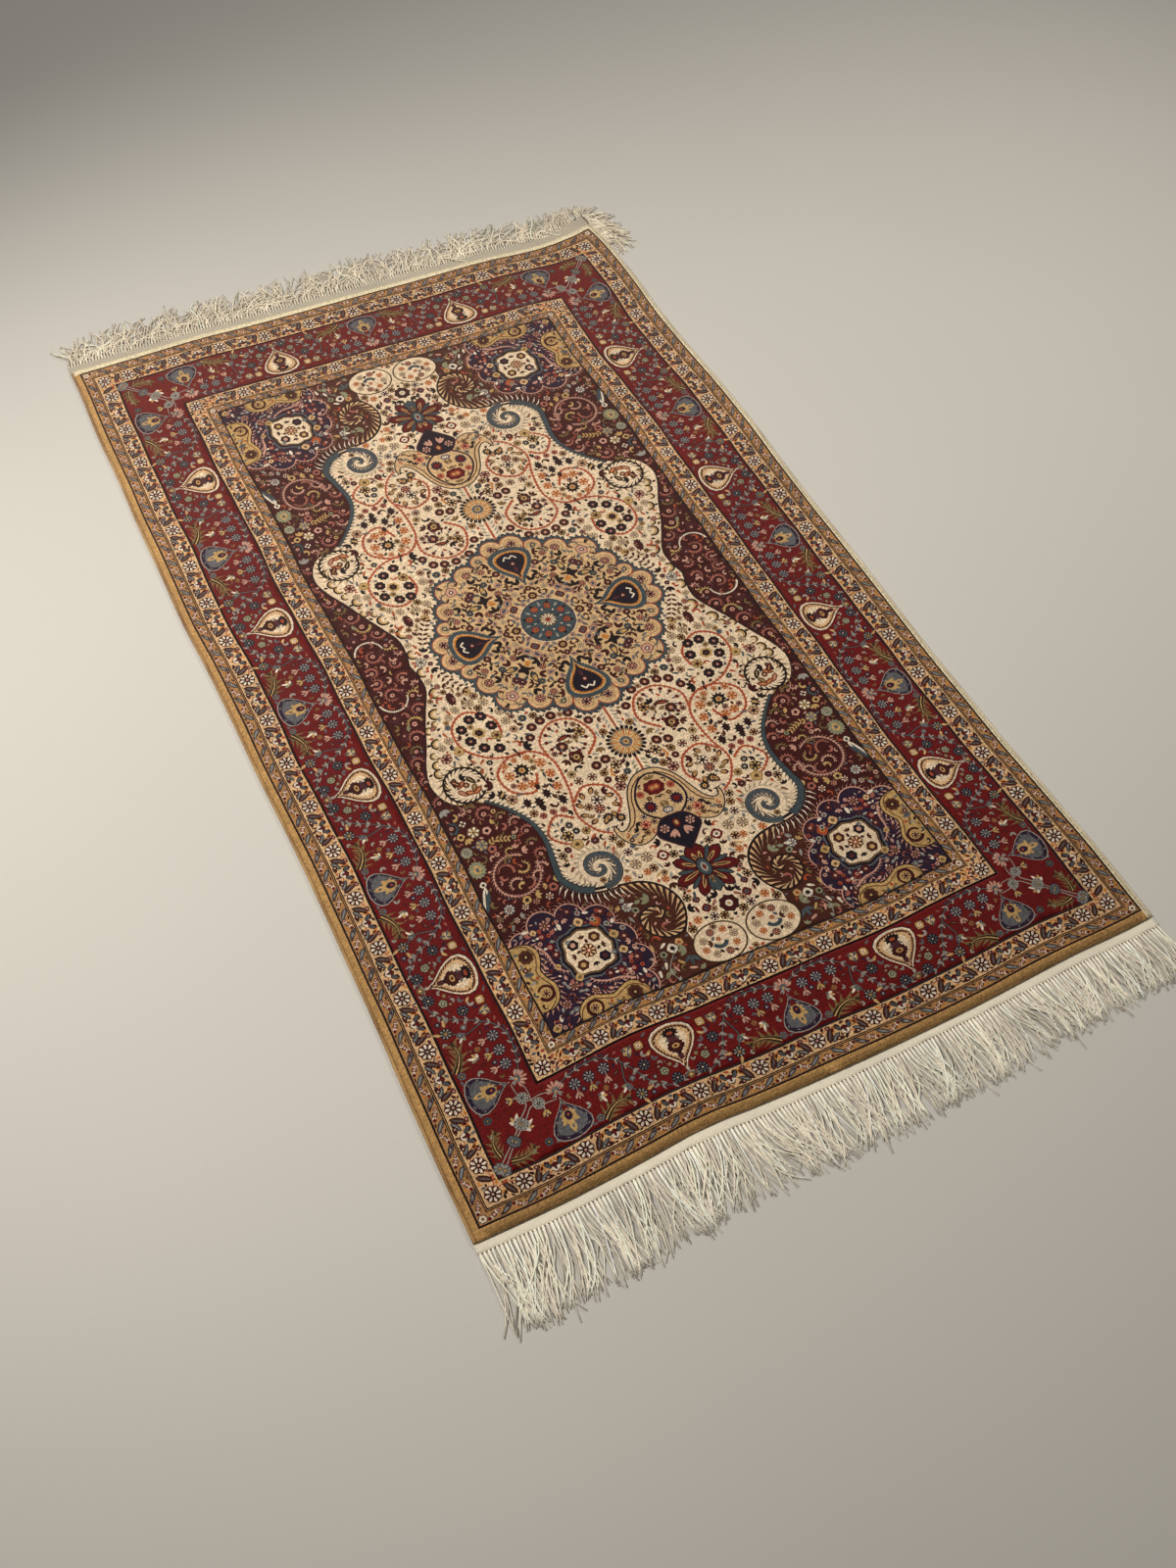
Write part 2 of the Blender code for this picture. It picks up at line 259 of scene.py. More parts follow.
def barbs(dye, path, length, width, step, side=1, lean=0.5, start=0.0, grow=0.0):
    """Small slanting leaves along one side of a line, as on a feather."""
    out = []
    want = step / 2
    run = 0.0
    total = sum(math.dist(a, b) for a, b in zip(path, path[1:])) or 1.0
    for a, b in zip(path, path[1:]):
        span = math.dist(a, b)
        if span == 0:
            continue
        tx, ty = (b[0] - a[0]) / span, (b[1] - a[1]) / span
        nx, ny = -ty * side, tx * side
        while want <= run + span:
            t = want - run
            x, y = a[0] + tx * t + nx * start, a[1] + ty * t + ny * start
            reach = length * (1 + grow * (want / total - 0.5))
            tip = (x + nx * reach + tx * reach * lean, y + ny * reach + ty * reach * lean)
            on = reach * lean * 0.3 + width * 0.5
            mid = (x + nx * reach * 0.5 + tx * on, y + ny * reach * 0.5 + ty * on)
            foot = [(x - tx * width / 2, y - ty * width / 2), (x + tx * width / 2, y + ty * width / 2)]
            out.append((dye, foot + [mid, tip]))
            want += step
        run += span
    return out


def saw(outline, depth, step, lean=0.35):
    """A closed outline with small teeth pointing out."""
    path = list(outline) + [outline[0]]
    area = sum(a[0] * b[1] - b[0] * a[1] for a, b in zip(path, path[1:]))
    side = -1 if area > 0 else 1
    total = sum(math.dist(a, b) for a, b in zip(path, path[1:]))
    count = max(6, round(total / step))
    gap = total / count
    out = []
    run, k = 0.0, 0
    for a, b in zip(path, path[1:]):
        span = math.dist(a, b)
        if span == 0:
            continue
        tx, ty = (b[0] - a[0]) / span, (b[1] - a[1]) / span
        nx, ny = -ty * side, tx * side
        while k < count and k * gap <= run + span:
            t = k * gap - run
            x, y = a[0] + tx * t, a[1] + ty * t
            out.append((x, y))
            out.append((x + tx * gap * (0.5 + lean) + nx * depth, y + ty * gap * (0.5 + lean) + ny * depth))
            k += 1
        run += span
    return out


# Motifs, about their own middle or foot, in mm
def rosette(r, petals=8, dye="rose", back="maroon", heart="maroon", eye="white"):
    """Petals on a scalloped ground, with a heart and an eye."""
    out = []
    if back:
        rim = []
        n = petals * 2 if r > 8.5 else petals
        for i in range(n):
            a = 2 * math.pi * i / n
            rr = r if i % 2 == 0 or n == petals else r * 0.86
            rim.append((rr * math.cos(a), rr * math.sin(a)))
        out.append((back, rim))
    long = r * (0.62 if back else 0.72)
    wide = 2 * math.pi * r * 0.62 / petals * (0.62 if back else 0.95)
    for i in range(petals):
        out.append((dye, turned(petal(r * 0.27, long, wide, 0.65), 360 * i / petals)))
    if heart:
        out.append((heart, oval(r * 0.32, r * 0.32, 8 if r > 8.5 else 6)))
    if eye:
        out.append((eye, oval(r * 0.16, r * 0.16, 6 if r > 8.5 else 4)))
    return out


def bloom(r, petals=5, dye="slate", heart="dark", eye="yellow", edge=None):
    """A round flower whose petals touch."""
    out = []
    n = petals * 2
    for part, name in ((1.16, edge), (1.0, dye)):
        if not name:
            continue
        rim = []
        for i in range(n):
            a = 2 * math.pi * i / n
            rr = r * part * (0.84 + 0.16 * abs(math.cos(a * petals / 2)))
            rim.append((rr * math.cos(a), rr * math.sin(a)))
        out.append((name, rim))
    if heart:
        out.append((heart, oval(r * 0.42, r * 0.42, 8 if r > 4.7 else 5)))
    if eye:
        out.append((eye, oval(r * 0.2, r * 0.2, 6 if r > 4.7 else 4)))
    return out


def leaf(length, width, dye="sage", vein=None, bend=0.0, edge=None):
    """A leaf from its foot at (0, 0) along +x, bent sideways by bend."""
    def bent(points):
        return [(px, py + bend * (px / length) ** 2) for px, py in points]
    out = []
    if edge:
        out.append((edge, bent(petal(-1.0, length + 2.4, width + 2.2, 0.4))))
    out.append((dye, bent(petal(0, length, width, 0.4))))
    if vein:
        out.append((vein, bent(petal(length * 0.12, length * 0.7, width * 0.28, 0.4))))
    return out


def hook(r, sweep=200, dye="pink", back="maroon", width=3.0):
    """A curled leaf: a hook that thickens towards its foot, with a few teeth outside."""
    path = arc(0, 0, r, 0, sweep, 2.5, r * 0.62)
    out = []
    if back:
        out += ribbon(back, path, width + 2.2, width * 0.6 + 2)
    out += ribbon(dye, path, width, width * 0.35)
    out += barbs(dye, path, width * 0.9, width * 0.7, width * 1.1, -1, 0.6, width * 0.4)
    return out


def tulip(size=1.0, cup="maroon", side="white", tip="slate"):
    """A cup flower opening along +x."""
    out = [(cup, petal(-5, 10, 8, 0.55))]
    for turn in (34, -34):
        out.append((side, turned(petal(0, 7, 3.4, 0.6), turn, -4, 0)))
    out.append((tip, petal(-3, 5.4, 3, 0.6)))
    return [(d, turned(o, 0, 0, 0, size)) for d, o in out]


def sprig(length=14, dye="yellow", stem="rose"):
    """A forked leaf on a stalk, from the foot of a flower along +x."""
    out = ribbon(stem, [(0, 0), (length * 0.5, 0.6), (length, 0)], 1.8)
    out += [("dark", turned(petal(-0.6, 11, 5, 0.5), turn, length * 0.4, 0)) for turn in (30, -30)]
    out += [(dye, turned(petal(0, 9.4, 3.4, 0.5), turn, length * 0.4, 0)) for turn in (30, -30)]
    return out


def heart_shape(length, half_width):
    """A drop with its drawn-out tip at (0, 0) and its round end at (length, 0)."""
    shares = (
        (0, 0), (0.09, 0.05), (0.19, 0.17), (0.3, 0.4), (0.42, 0.66), (0.56, 0.88), (0.7, 1.0), (0.83, 0.96),
        (0.93, 0.72), (0.985, 0.36), (1, 0),
    )
    upper = [(length * a, half_width * b) for a, b in shares]
    return upper + [(px, -py) for px, py in reversed(upper[1:-1])]


def scaled_about(outline, share, x, y=0.0):
    """The outline made smaller or larger about (x, y)."""
    return [(x + (px - x) * share, y + (py - y) * share) for px, py in outline]


def with_stations(outline, step):
    """The outline with a corner at least every step or so, so that a long line can bend with the cloth. Lines
    along x or y get theirs at even places, where their neighbours have them too."""
    out = []
    for (ax, ay), (bx, by) in zip(outline, np.roll(outline, -1, axis=0)):
        out.append((ax, ay))
        long = math.hypot(bx - ax, by - ay)
        if long < 1.5 * step:
            continue
        if ax == bx or ay == by:
            a, b = (ay, by) if ax == bx else (ax, bx)
            marks = np.arange(math.ceil((min(a, b) + 1) / step) * step, max(a, b) - 1, step)
            for mark in marks if b > a else marks[::-1]:
                out.append((ax, mark) if ax == bx else (mark, ay))
        else:
            parts = round(long / step)
            out += [(ax + (bx - ax) * i / parts, ay + (by - ay) * i / parts) for i in range(1, parts)]
    return out


def inside_of(outline, x, y):
    """Which of the points lie inside the outline, by its turns round them."""
    turns = np.zeros(np.shape(x), int)
    for (px, py), (qx, qy) in zip(outline, np.roll(outline, -1, axis=0)):
        if py == qy:
            continue
        left = (qx - px) * (y - py) - (x - px) * (qy - py)
        if qy > py:
            turns += (py <= y) & (qy > y) & (left > 0)
        else:
            turns -= (py > y) & (qy <= y) & (left < 0)
    return turns != 0


# The weaver's drawing
LEAST_AREA = 0.02


class Drawing:
    """Patches of dye in the order they are laid, later ones over earlier ones. One quarter of the rug is
    drawn, x and y outward from the middle in mm, and mirrored into the other three."""

    def __init__(self):
        self.patches = []
        self.dyes = []

    def patch(self, dye, outline):
        """Lays one outline of a dye, unless it is as good as empty."""
        outline = np.array(outline, float)
        x, y = outline.T
        if abs(np.dot(x, np.roll(y, -1)) - np.dot(y, np.roll(x, -1))) > 2 * LEAST_AREA:
            self.patches.append(outline)
            self.dyes.append(DYE_NUMBER[dye])

    def put(self, motif, x=0.0, y=0.0, turn=0.0, size=1.0):
        for dye, outline in motif:
            self.patch(dye, turned(outline, turn, x, y, size))

    def put_in(self, band, motif, s, d, turn=0.0, size=1.0):
        """Lays a motif in a band: s along it from the middle of the rug, d in from the rug's edge. The motif's
        +x points along the band and its +y inward."""
        for dye, outline in motif:
            self.patch(dye, [band(*p) for p in turned(outline, turn, s, d, size)])

    def raster(self, wide, high):
        """The number of the dye at each whole millimetre of the quarter."""
        seen = np.full((wide, high), -1)
        for outline, dye in zip(self.patches, self.dyes):
            px, py = outline.T
            x0, x1 = max(math.ceil(px.min()), 0), min(math.floor(px.max()) + 1, wide)
            y0, y1 = max(math.ceil(py.min()), 0), min(math.floor(py.max()) + 1, high)
            if x0 < x1 and y0 < y1:
                x, y = np.meshgrid(np.arange(x0, x1), np.arange(y0, y1), indexing="ij")
                seen[x0:x1, y0:y1][inside_of(outline, x, y)] = dye
        return seen

    def fill(self, seed, seen, grounds, box, sizes, tries, motif_of, swap=None):
        """Motifs wherever the raster seen still shows the bare grounds of these dyes, large ones first. With swap
        they are laid again across the diagonal through that point. Returns what was laid."""
        rng = random.Random(seed)
        bare = np.isin(seen, [DYE_NUMBER[name] for name in grounds])
        laid = []
        for r in sizes:
            n = math.ceil(r * 0.8)
            gx, gy = np.meshgrid(np.arange(-n, n + 1), np.arange(-n, n + 1), indexing="ij")
            disc = gx ** 2 + gy ** 2 <= (r * 0.8) ** 2
            gx, gy = gx[disc], gy[disc]
            for _ in range(tries):
                x, y, turn = rng.randint(box[0], box[1]), rng.randint(box[2], box[3]), rng.uniform(0, 360)
                i, j = gx + x, gy + y
                if i.max() >= len(bare) or j.max() >= len(bare[0]):
                    continue
                i, j = np.abs(i), np.abs(j)
                if not bare[i, j].all():
                    continue
                bare[i, j] = False
                motif = [(dye, turned(outline, turn, x, y)) for dye, outline in motif_of(rng, r)]
                if swap:
                    a, b = np.abs(swap[0] + j - swap[1]), np.abs(swap[1] + i - swap[0])
                    bare[np.minimum(a, len(bare) - 1), np.minimum(b, len(bare[0]) - 1)] = False
                    motif += [
                        (dye, [(swap[0] + py - swap[1], swap[1] + px - swap[0]) for px, py in o]) for dye, o in motif
                    ]
                for dye, outline in motif:
                    self.patch(dye, outline)
                laid += motif
        return laid

    def mosaic(self, half_x, half_y, step):
        """The drawing as triangles: places, corners and dyes. They fill a rectangle from the middle exactly."""
        columns, rows = int(half_x / step), int(half_y / step)
        sheet = np.array([(0, 0), (half_x, 0), (half_x, half_y), (0, half_y)], float)
        points, lines = [], []
        for outline in self.patches + [sheet]:
            outline = with_stations(outline, step)
            first, count = len(points), len(outline)
            lines += [(first + i, first + (i + 1) % count) for i in range(count)]
            points += [Vector(p) for p in outline]
        points += [Vector((i * step, j * step)) for i in range(1, columns) for j in range(1, rows)]
        result = delaunay_2d_cdt(points, lines, [], 0, 1e-3, False)
        places = np.array([(v.x, v.y) for v in result[0]])
        corners = np.array(result[2])
        middle = places[corners].mean(axis=1)
        inside = (middle > 0).all(axis=1) & (middle[:, 0] < half_x) & (middle[:, 1] < half_y)
        corners, middle = corners[inside], middle[inside]
        order = np.argsort(middle[:, 0])
        corners, (xs, ys) = corners[order], middle[order].T
        dyes = np.zeros(len(corners), int)
        for outline, dye in zip(self.patches, self.dyes):
            px, py = outline.T
            low, high = np.searchsorted(xs, (px.min(), px.max()))
            near = low + np.flatnonzero((ys[low:high] > py.min()) & (ys[low:high] < py.max()))
            dyes[near[inside_of(outline, xs[near], ys[near])]] = dye
        return places, corners, dyes


def side_band(s, d):
    """A place in the bands of the long side: s along it from the rug's middle, d in from the edge."""
    return HALF_WIDTH - d, s


def end_band(s, d):
    """A place in the bands of the end."""
    return s, HALF_LENGTH - d


BANDS = ((side_band, HALF_LENGTH), (end_band, HALF_WIDTH))

# The frame of bands, each from so far in from the rug's edge, in mm, to the next
EDGE_LINE = 12
GUARD_A = 14.5
LINE_A = 26
GUARD_B = 29.5
LINE_B = 53.5
RED = 56.5
LINE_C = 137.5
GUARD_C = 140.5
LINE_D = 164.5
GUARD_D = 167.5
LINE_E = 178
FIELD = 180.5

# The red border's drops follow each other at this pitch. Its halves start at a grey drop and run one way or the other
RED_REPEAT = 151
RED_HALVES = (
    (side_band, ((0, 1), (2 * RED_REPEAT, -1), (2 * RED_REPEAT, 1), (4 * RED_REPEAT, -1))),
    (end_band, ((0, 1), (2 * RED_REPEAT, -1))),
)
RED_DROPS = ((side_band, 5), (end_band, 3))


def ground(art, dye, d, d_end=None):
    """Ground of one dye, from d in from the rug's edge to d_end, or to the middle."""
    x, y = HALF_WIDTH - d, HALF_LENGTH - d
    if d_end is None:
        art.patch(dye, [(-4, -4), (x, -4), (x, y), (-4, y)])
    else:
        low_x, low_y = HALF_WIDTH - d_end, HALF_LENGTH - d_end
        art.patch(dye, [(low_x, -4), (x, -4), (x, y), (low_x, y)])
        art.patch(dye, [(-4, low_y), (low_x, low_y), (low_x, y), (-4, y)])


def draw_narrow_guard(art, d_low, d_high):
    """Small flowers between slanting leaves on a tan ground with toothed edges."""
    middle = (d_low + d_high) / 2
    half = (d_high - d_low) / 2
    pitch = 30.2
    for band, length in BANDS:
        stop = length - d_high - 4

        def put(motif, s, off, turn=0.0, size=1.0):
            art.put_in(band, motif, s, middle + off, turn, size)

        for k in range(int(stop / pitch) + 1):
            s = k * pitch
            side = 1 if k % 2 else -1
            if s + pitch / 2 < stop:
                put(leaf(21, 5.4, "slate", "mist", 1.0, "dark"), s + pitch / 2 - 7, half * 0.95, -36, 0.86)
            for way in (1, -1):
                at = s + 7.5 * way
                if 0 < at < stop:
                    put(leaf(8, 2.6, "orange", None, 1), at, -side * 1.5, 90 + 90 * way + 25, 0.9)
                    put(leaf(7, 2.4, "maroon", None, 1), at + 2, side * 3.2, 90 - 90 * way - 20, 0.9)
            if s < stop:
                put([("dark", oval(3.4, 3.4, 6)), ("rose", oval(2.2, 2.2, 5))], s, 0)
                for way in (-1, 1):
                    put(bloom(2.6, 4, "white", "rust", None, "dark"), s + 4.2 * way, 2.2 * way * side, 20)
                put([("wine", oval(2.2, 2.2, 6))], s + 6.2, 2.6 * side)
                put([("maroon", oval(2.6, 2.6, 6)), ("rose", oval(1.6, 1.6, 5))], s - 6.2, -2.6 * side)
        put(bloom(4.6, 6, "white", "wine", "orange", "dark"), length - middle, 0)


def draw_cream_guard(art, d_low, d_high):
    """Large rosettes and cup flowers in turn on a thin vine, with slanting leaves."""
    middle = (d_low + d_high) / 2
    pitch = 75.5
    for band, length in BANDS:
        stop = length - d_high - 8

        def put(motif, s, d, turn=0.0, size=1.0):
            if -6 < s < stop:
                art.put_in(band, motif, s, d, turn, size)

        stem = np.arange(-10, length - middle, 4.0)
        vine = [(s, middle + 7.2 * math.sin(2 * math.pi * s / pitch)) for s in stem]
        for dye, outline in ribbon("rust", vine, 1.2):
            art.patch(dye, [band(*p) for p in outline])
        for k in range(int(stop / pitch) + 2):
            s = k * pitch
            for side in (-1, 1):
                for motif, along, off, turn in (
                    (leaf(21, 6.4, "chocolate", "slate", 2.0 * side, "dark"), 12, -9, 90 - 34 * side),
                    (leaf(14, 4.6, "slate", "mist", -1.5 * side, "dark"), 17, -9.5, 90 - 50 * side),
                    (leaf(11, 4.2, "orange", "rust", 1.2), 27, 9, -90 - 35 * side),
                    (leaf(10, 3.6, "maroon", None, 1.0), 30, -10.3, 90 + 70 * side),
                    (leaf(9, 3.2, "rust", None, 1.0), 15, 10.2, 90 - 120 * side),
                    (bloom(3.6, 4, "dark", "rose", None), 25, -7.6, 0),
                    (bloom(3.2, 4, "plum", "rose", None), 18.5, 8.4, 0),
                    ([("maroon", petal(0, 6.5, 3))], 22, 1, 90 - 20 * side),
                ):
                    put(motif, s + side * along, middle + off, turn)
            put(rosette(11.2, 8, "white", "maroon", "dark", "rose"), s, middle)
            at = s + pitch / 2
            put([("dark", petal(-7, 14, 11, 0.6))] + tulip(1.2, "wine", "white", "plum"), at, middle - 1.0, 90)
            for off in (-1, 1):
                put(bloom(4.0, 5, "maroon", "rose", None), at + 8 * off, middle + 6.2)
                put(leaf(9, 3.8, "slate", "dark", off, "dark"), at + 4 * off, middle + 1, 90 - 50 * off)
                put(leaf(7, 3.0, "maroon", None, off), at + 5 * off, middle - 9.8, 90 - 62 * off)
        corner = length - middle
        art.put_in(band, rosette(10.8, 8, "white", "maroon", "dark", "rose"), corner, middle)


def pale_drop():
    """The pale drop of the red border: tip at (0, 0), round end at (64, 0)."""
    shape = heart_shape(65, 27.5)
    out = [("dark", scaled_about(shape, 1.035, 36)), ("white", shape), ("cream", scaled_about(shape, 0.93, 36))]
    ring = curve(scaled_about(shape, 0.82, 37), 5, True)
    out.append(("chocolate", scaled_about(shape, 0.88, 37)))
    out.append(("cream", scaled_about(shape, 0.84, 37)))
    for a, b in zip(ring, ring[1:] + ring[:1]):
        turn = math.degrees(math.atan2(b[1] - a[1], b[0] - a[0])) + 30
        out.append(("maroon", turned(petal(-3.4, 7, 2.2), turn, (a[0] + b[0]) / 2, (a[1] + b[1]) / 2)))
    out.append(("ivory", scaled_about(shape, 0.62, 38)))
    core = [
        ("plum", oval(5.5, 3.6, 8, 21, 0)),
        ("dark", petal(23, 13, 11, 0.6)),
        ("maroon", saw(oval(8, 9.5, 12, 35, 0), 1.6, 4)),
        ("yellow", oval(3.2, 5.0, 8, 35, 0)),
        ("wine", oval(1.6, 2.6, 6, 35, 0)),
        ("plum", oval(5.5, 7.0, 8, 45, 0)),
        ("dark", saw(oval(5.0, 9.0, 10, 53, 0), 1.4, 4)),
        ("rust", oval(2.2, 4.0, 8, 52, 0)),
    ]
    for side in (-1, 1):
        core.append(("maroon", turned(petal(0, 8, 3.2), 60 * side, 30, 4 * side)))
        core.append(("slate", turned(petal(0, 7, 2.6), 120 * side, 46, 4 * side)))
    return out + core


def grey_drop():
    """The grey drop of the red border: tip at (0, 0), round end at (52, 0)."""
    shape = heart_shape(53, 23.5)
    out = [("mist", scaled_about(shape, 1.03, 30)), ("indigo", scaled_about(shape, 0.97, 30))]
    inner = scaled_about(shape, 0.76, 27)
    out.append(("slate", saw(inner, 1.3, 3.2)))
    rim = scaled_about(shape, 0.86, 29)
    for i, (a, b) in enumerate(zip(rim, rim[1:] + rim[:1])):
        if i % 2 == 0:
            turn = math.degrees(math.atan2(b[1] - a[1], b[0] - a[0])) + 15
            out.append(("mist", turned(petal(-2.4, 5, 1.1), turn, (a[0] + b[0]) / 2, (a[1] + b[1]) / 2)))
    out.append(("brick", petal(9, 10, 7, 0.7)))
    out.append(("yellow", saw(oval(8.5, 8, 14, 26, 0), 1.6, 4.5)))
    out.append(("yellow", petal(31, 15, 8, 0.4)))
    out.append(("slate", petal(35, 6, 3.4, 0.5)))
    for side in (-1, 1):
        out.append(("yellow", turned(petal(0, 10, 4.6), 48 * side, 27, 3 * side)))
    out.append(("indigo", oval(6.2, 4.6, 10, 24, 0)))
    out.append(("rust", oval(1.8, 1.8, 6, 23, 0)))
    return out


def fan_palmette():
    """Petals spread like rays from (0, 0) along +x."""
    out = []
    for i in range(7):
        turn = -78 + 26 * i
        out.append(("rose", turned(petal(3, 11 - abs(i - 3) * 0.8, 3.1, 0.7), turn)))
    out.append(("slate", oval(3.6, 4.6, 8, 2, 0)))
    out.append(("yellow", oval(1.5, 2.2, 6, 0.5, 0)))
    for turn in (128, -128, 152, -152):
        out.append(("mist", turned(petal(1, 8, 2.2), turn)))
    return out


def curled_leaf():
    """A broad dark leaf with a toothed yellow edge, from (0, 0) along +x and bent."""
    path = curve([(0, 0), (14, 4.5), (28, 4.0), (40, -4)], 4)
    out = ribbon("dark", path, 13.5, 3.0)
    for side in (-1, 1):
        out += barbs("olive", path, 9.4, 6.6, 8.4, side, 0.8, 2.0, -0.8)
    out += ribbon("olive", path, 11.0, 1.6) + ribbon("dark", path, 7.4, 1.2)
    return out + ribbon("yellow", path[:-2], 2.0, 0.8)


def forked_leaf():
    """Leaves of four dyes from one foot."""
    out = []
    for turn, long, dye in ((0, 13, "white"), (38, 10, "yellow"), (-34, 9, "sage"), (70, 7, "white")):
        out.append((dye, turned(petal(0, long, 3.6, 0.55), turn)))
    out.append(("slate", oval(2, 2, 6)))
    return out


RED_VINE = (
    (0, 63), (10, 70), (24, 74.5), (45, 76.5), (62, 74), (78, 64), (90, 48), (98, 34), (108, 16), (122, 7), (138, 5),
    (151, 12)
)


def draw_red_half(art, band, middle, way):
    """Half a repeat of the red border: from a grey drop's middle to the next pale drop's, 151 mm on."""

    def put(motif, s=0, t=0, turn=0.0, size=1.0):
        for dye, outline in motif:
            outline = turned(outline, turn, s, t, size)
            art.patch(dye, [band(middle + way * px, RED + py) for px, py in outline])

    vine = curve(RED_VINE, 4)
    put(ribbon("dark", vine, 2.6) + ribbon("slate", vine, 1.2) + leafy(vine, "mist", None, 7.5, 2.4, 13, 32))
    branch = curve([(84, 56), (80, 44), (78, 32), (84, 20), (88, 12)], 4)
    put(ribbon("dark", branch, 2.4) + ribbon("slate", branch, 1.1))
    for s, turn in ((22, 10), (32, 8), (42, 4), (52, 0), (62, -14)):
        put(leaf(9, 3.0, "indigo", "slate"), s, 78 - abs(s - 40) * 0.03, turn)
    for s, t, turn in ((97, 40, 200), (102, 31, 190), (107, 22, 215), (113, 13, 190), (121, 10, 140)):
        put(leaf(8.5, 3.0, "mist", "slate"), s, t, turn)
    for s in (23, 42, 62):
        put(sprig(15, "rose" if s != 42 else "yellow", "rose"), s, 56, -98)
        put(rosette(7.8, 8, "mist", "indigo", "slate", "mist"), s, 60)
    put(rosette(7.6, 8, "mist", "dark", "olive", "yellow"), 88, 12)
    put(leaf(11, 4.4, "yellow", "cream", 1), 88, 6, -70, 0.9)
    put(leaf(11, 4.4, "yellow", "cream", -1), 96, 13, 20, 0.9)
    put(leaf(10, 4.4, "dark", "pink", 1.4), 68, 47, 12)
    put(curled_leaf(), 36, 4, 18, 1.0)
    put(bloom(5.2, 5, "slate", "dark", "yellow"), 31, 9)
    put(leaf(8, 3.4, "slate", None, 1), 26, 5, 160)
    put(forked_leaf(), 43, 34, -70)
    put(forked_leaf(), 79, 30, -140, 0.95)
    put(bloom(4.6, 5, "slate", "dark", "white"), 79, 26)
    # round the pale drop
    put(rosette(7.6, 8, "slate", "navy", "dark", "white"), 135, 11)
    put(rosette(7.6, 8, "slate", "navy", "dark", "white"), 107, 42)
    put(bloom(5.6, 5, "sage", "dark", "white", "dark"), 125, 25)
    put(leaf(9, 4, "yellow", "cream", 1.5), 114, 50, 30)
    put(bloom(6.2, 4, "yellow", "white", "rust", "dark"), 111, 66, 45)
    put(bloom(6.2, 4, "yellow", "white", "olive", "teal"), 96, 65, 20)
    for turn in (40, 140, 265):
        put(leaf(9, 3.0, "slate", "teal"), 96, 65, turn)
    put(leaf(9, 3.0, "slate"), 118, 74, 30)
    put(leaf(6, 2.6, "pink", "wine"), 84, 72, 200)


def draw_red_corner(art):
    """The corner of the red border, the same on both sides of its diagonal."""
    x0, y0 = HALF_WIDTH, HALF_LENGTH

    def put(motif, dx=0, dy=0, turn=0.0, size=1.0):
        """At dx in from the side and dy in from the end, and again with the two swapped."""
        for dye, outline in motif:
            outline = turned(outline, turn, dx, dy, size)
            art.patch(dye, [(x0 - px, y0 - py) for px, py in outline])
            art.patch(dye, [(x0 - py, y0 - px) for px, py in outline])

    stem = curve([(132, 118), (120, 116), (108, 104), (90, 88), (66, 62)], 4)
    put(ribbon("mist", stem, 1.4))
    put(ribbon("mist", curve([(122, 150), (125, 135), (124, 122), (130, 114), (150, 111)], 4), 1.2))
    put(curled_leaf(), 68, 76, 84, 0.8)
    put(forked_leaf(), 96, 104, 60, 1.1)
    put(sprig(15, "yellow", "mist"), 112, 134, 184)
    put(rosette(7.4, 8, "slate", "mist", "dark", "mist"), 116, 130)
    put(bloom(5.4, 5, "teal", "dark", "yellow"), 70, 122)
    put(leaf(9, 3.2, "slate"), 66, 128, 100)
    put(leaf(7, 3.0, "sage"), 100, 66, 20)
    put(rosette(7.4, 8, "slate", "mist", "olive", "mist"), 104, 101)
    put(bloom(6.6, 5, "slate", "teal", "yellow", "dark"), 89, 86)
    put(rosette(7.6, 8, "mist", "slate", "olive", "yellow"), 65, 61)


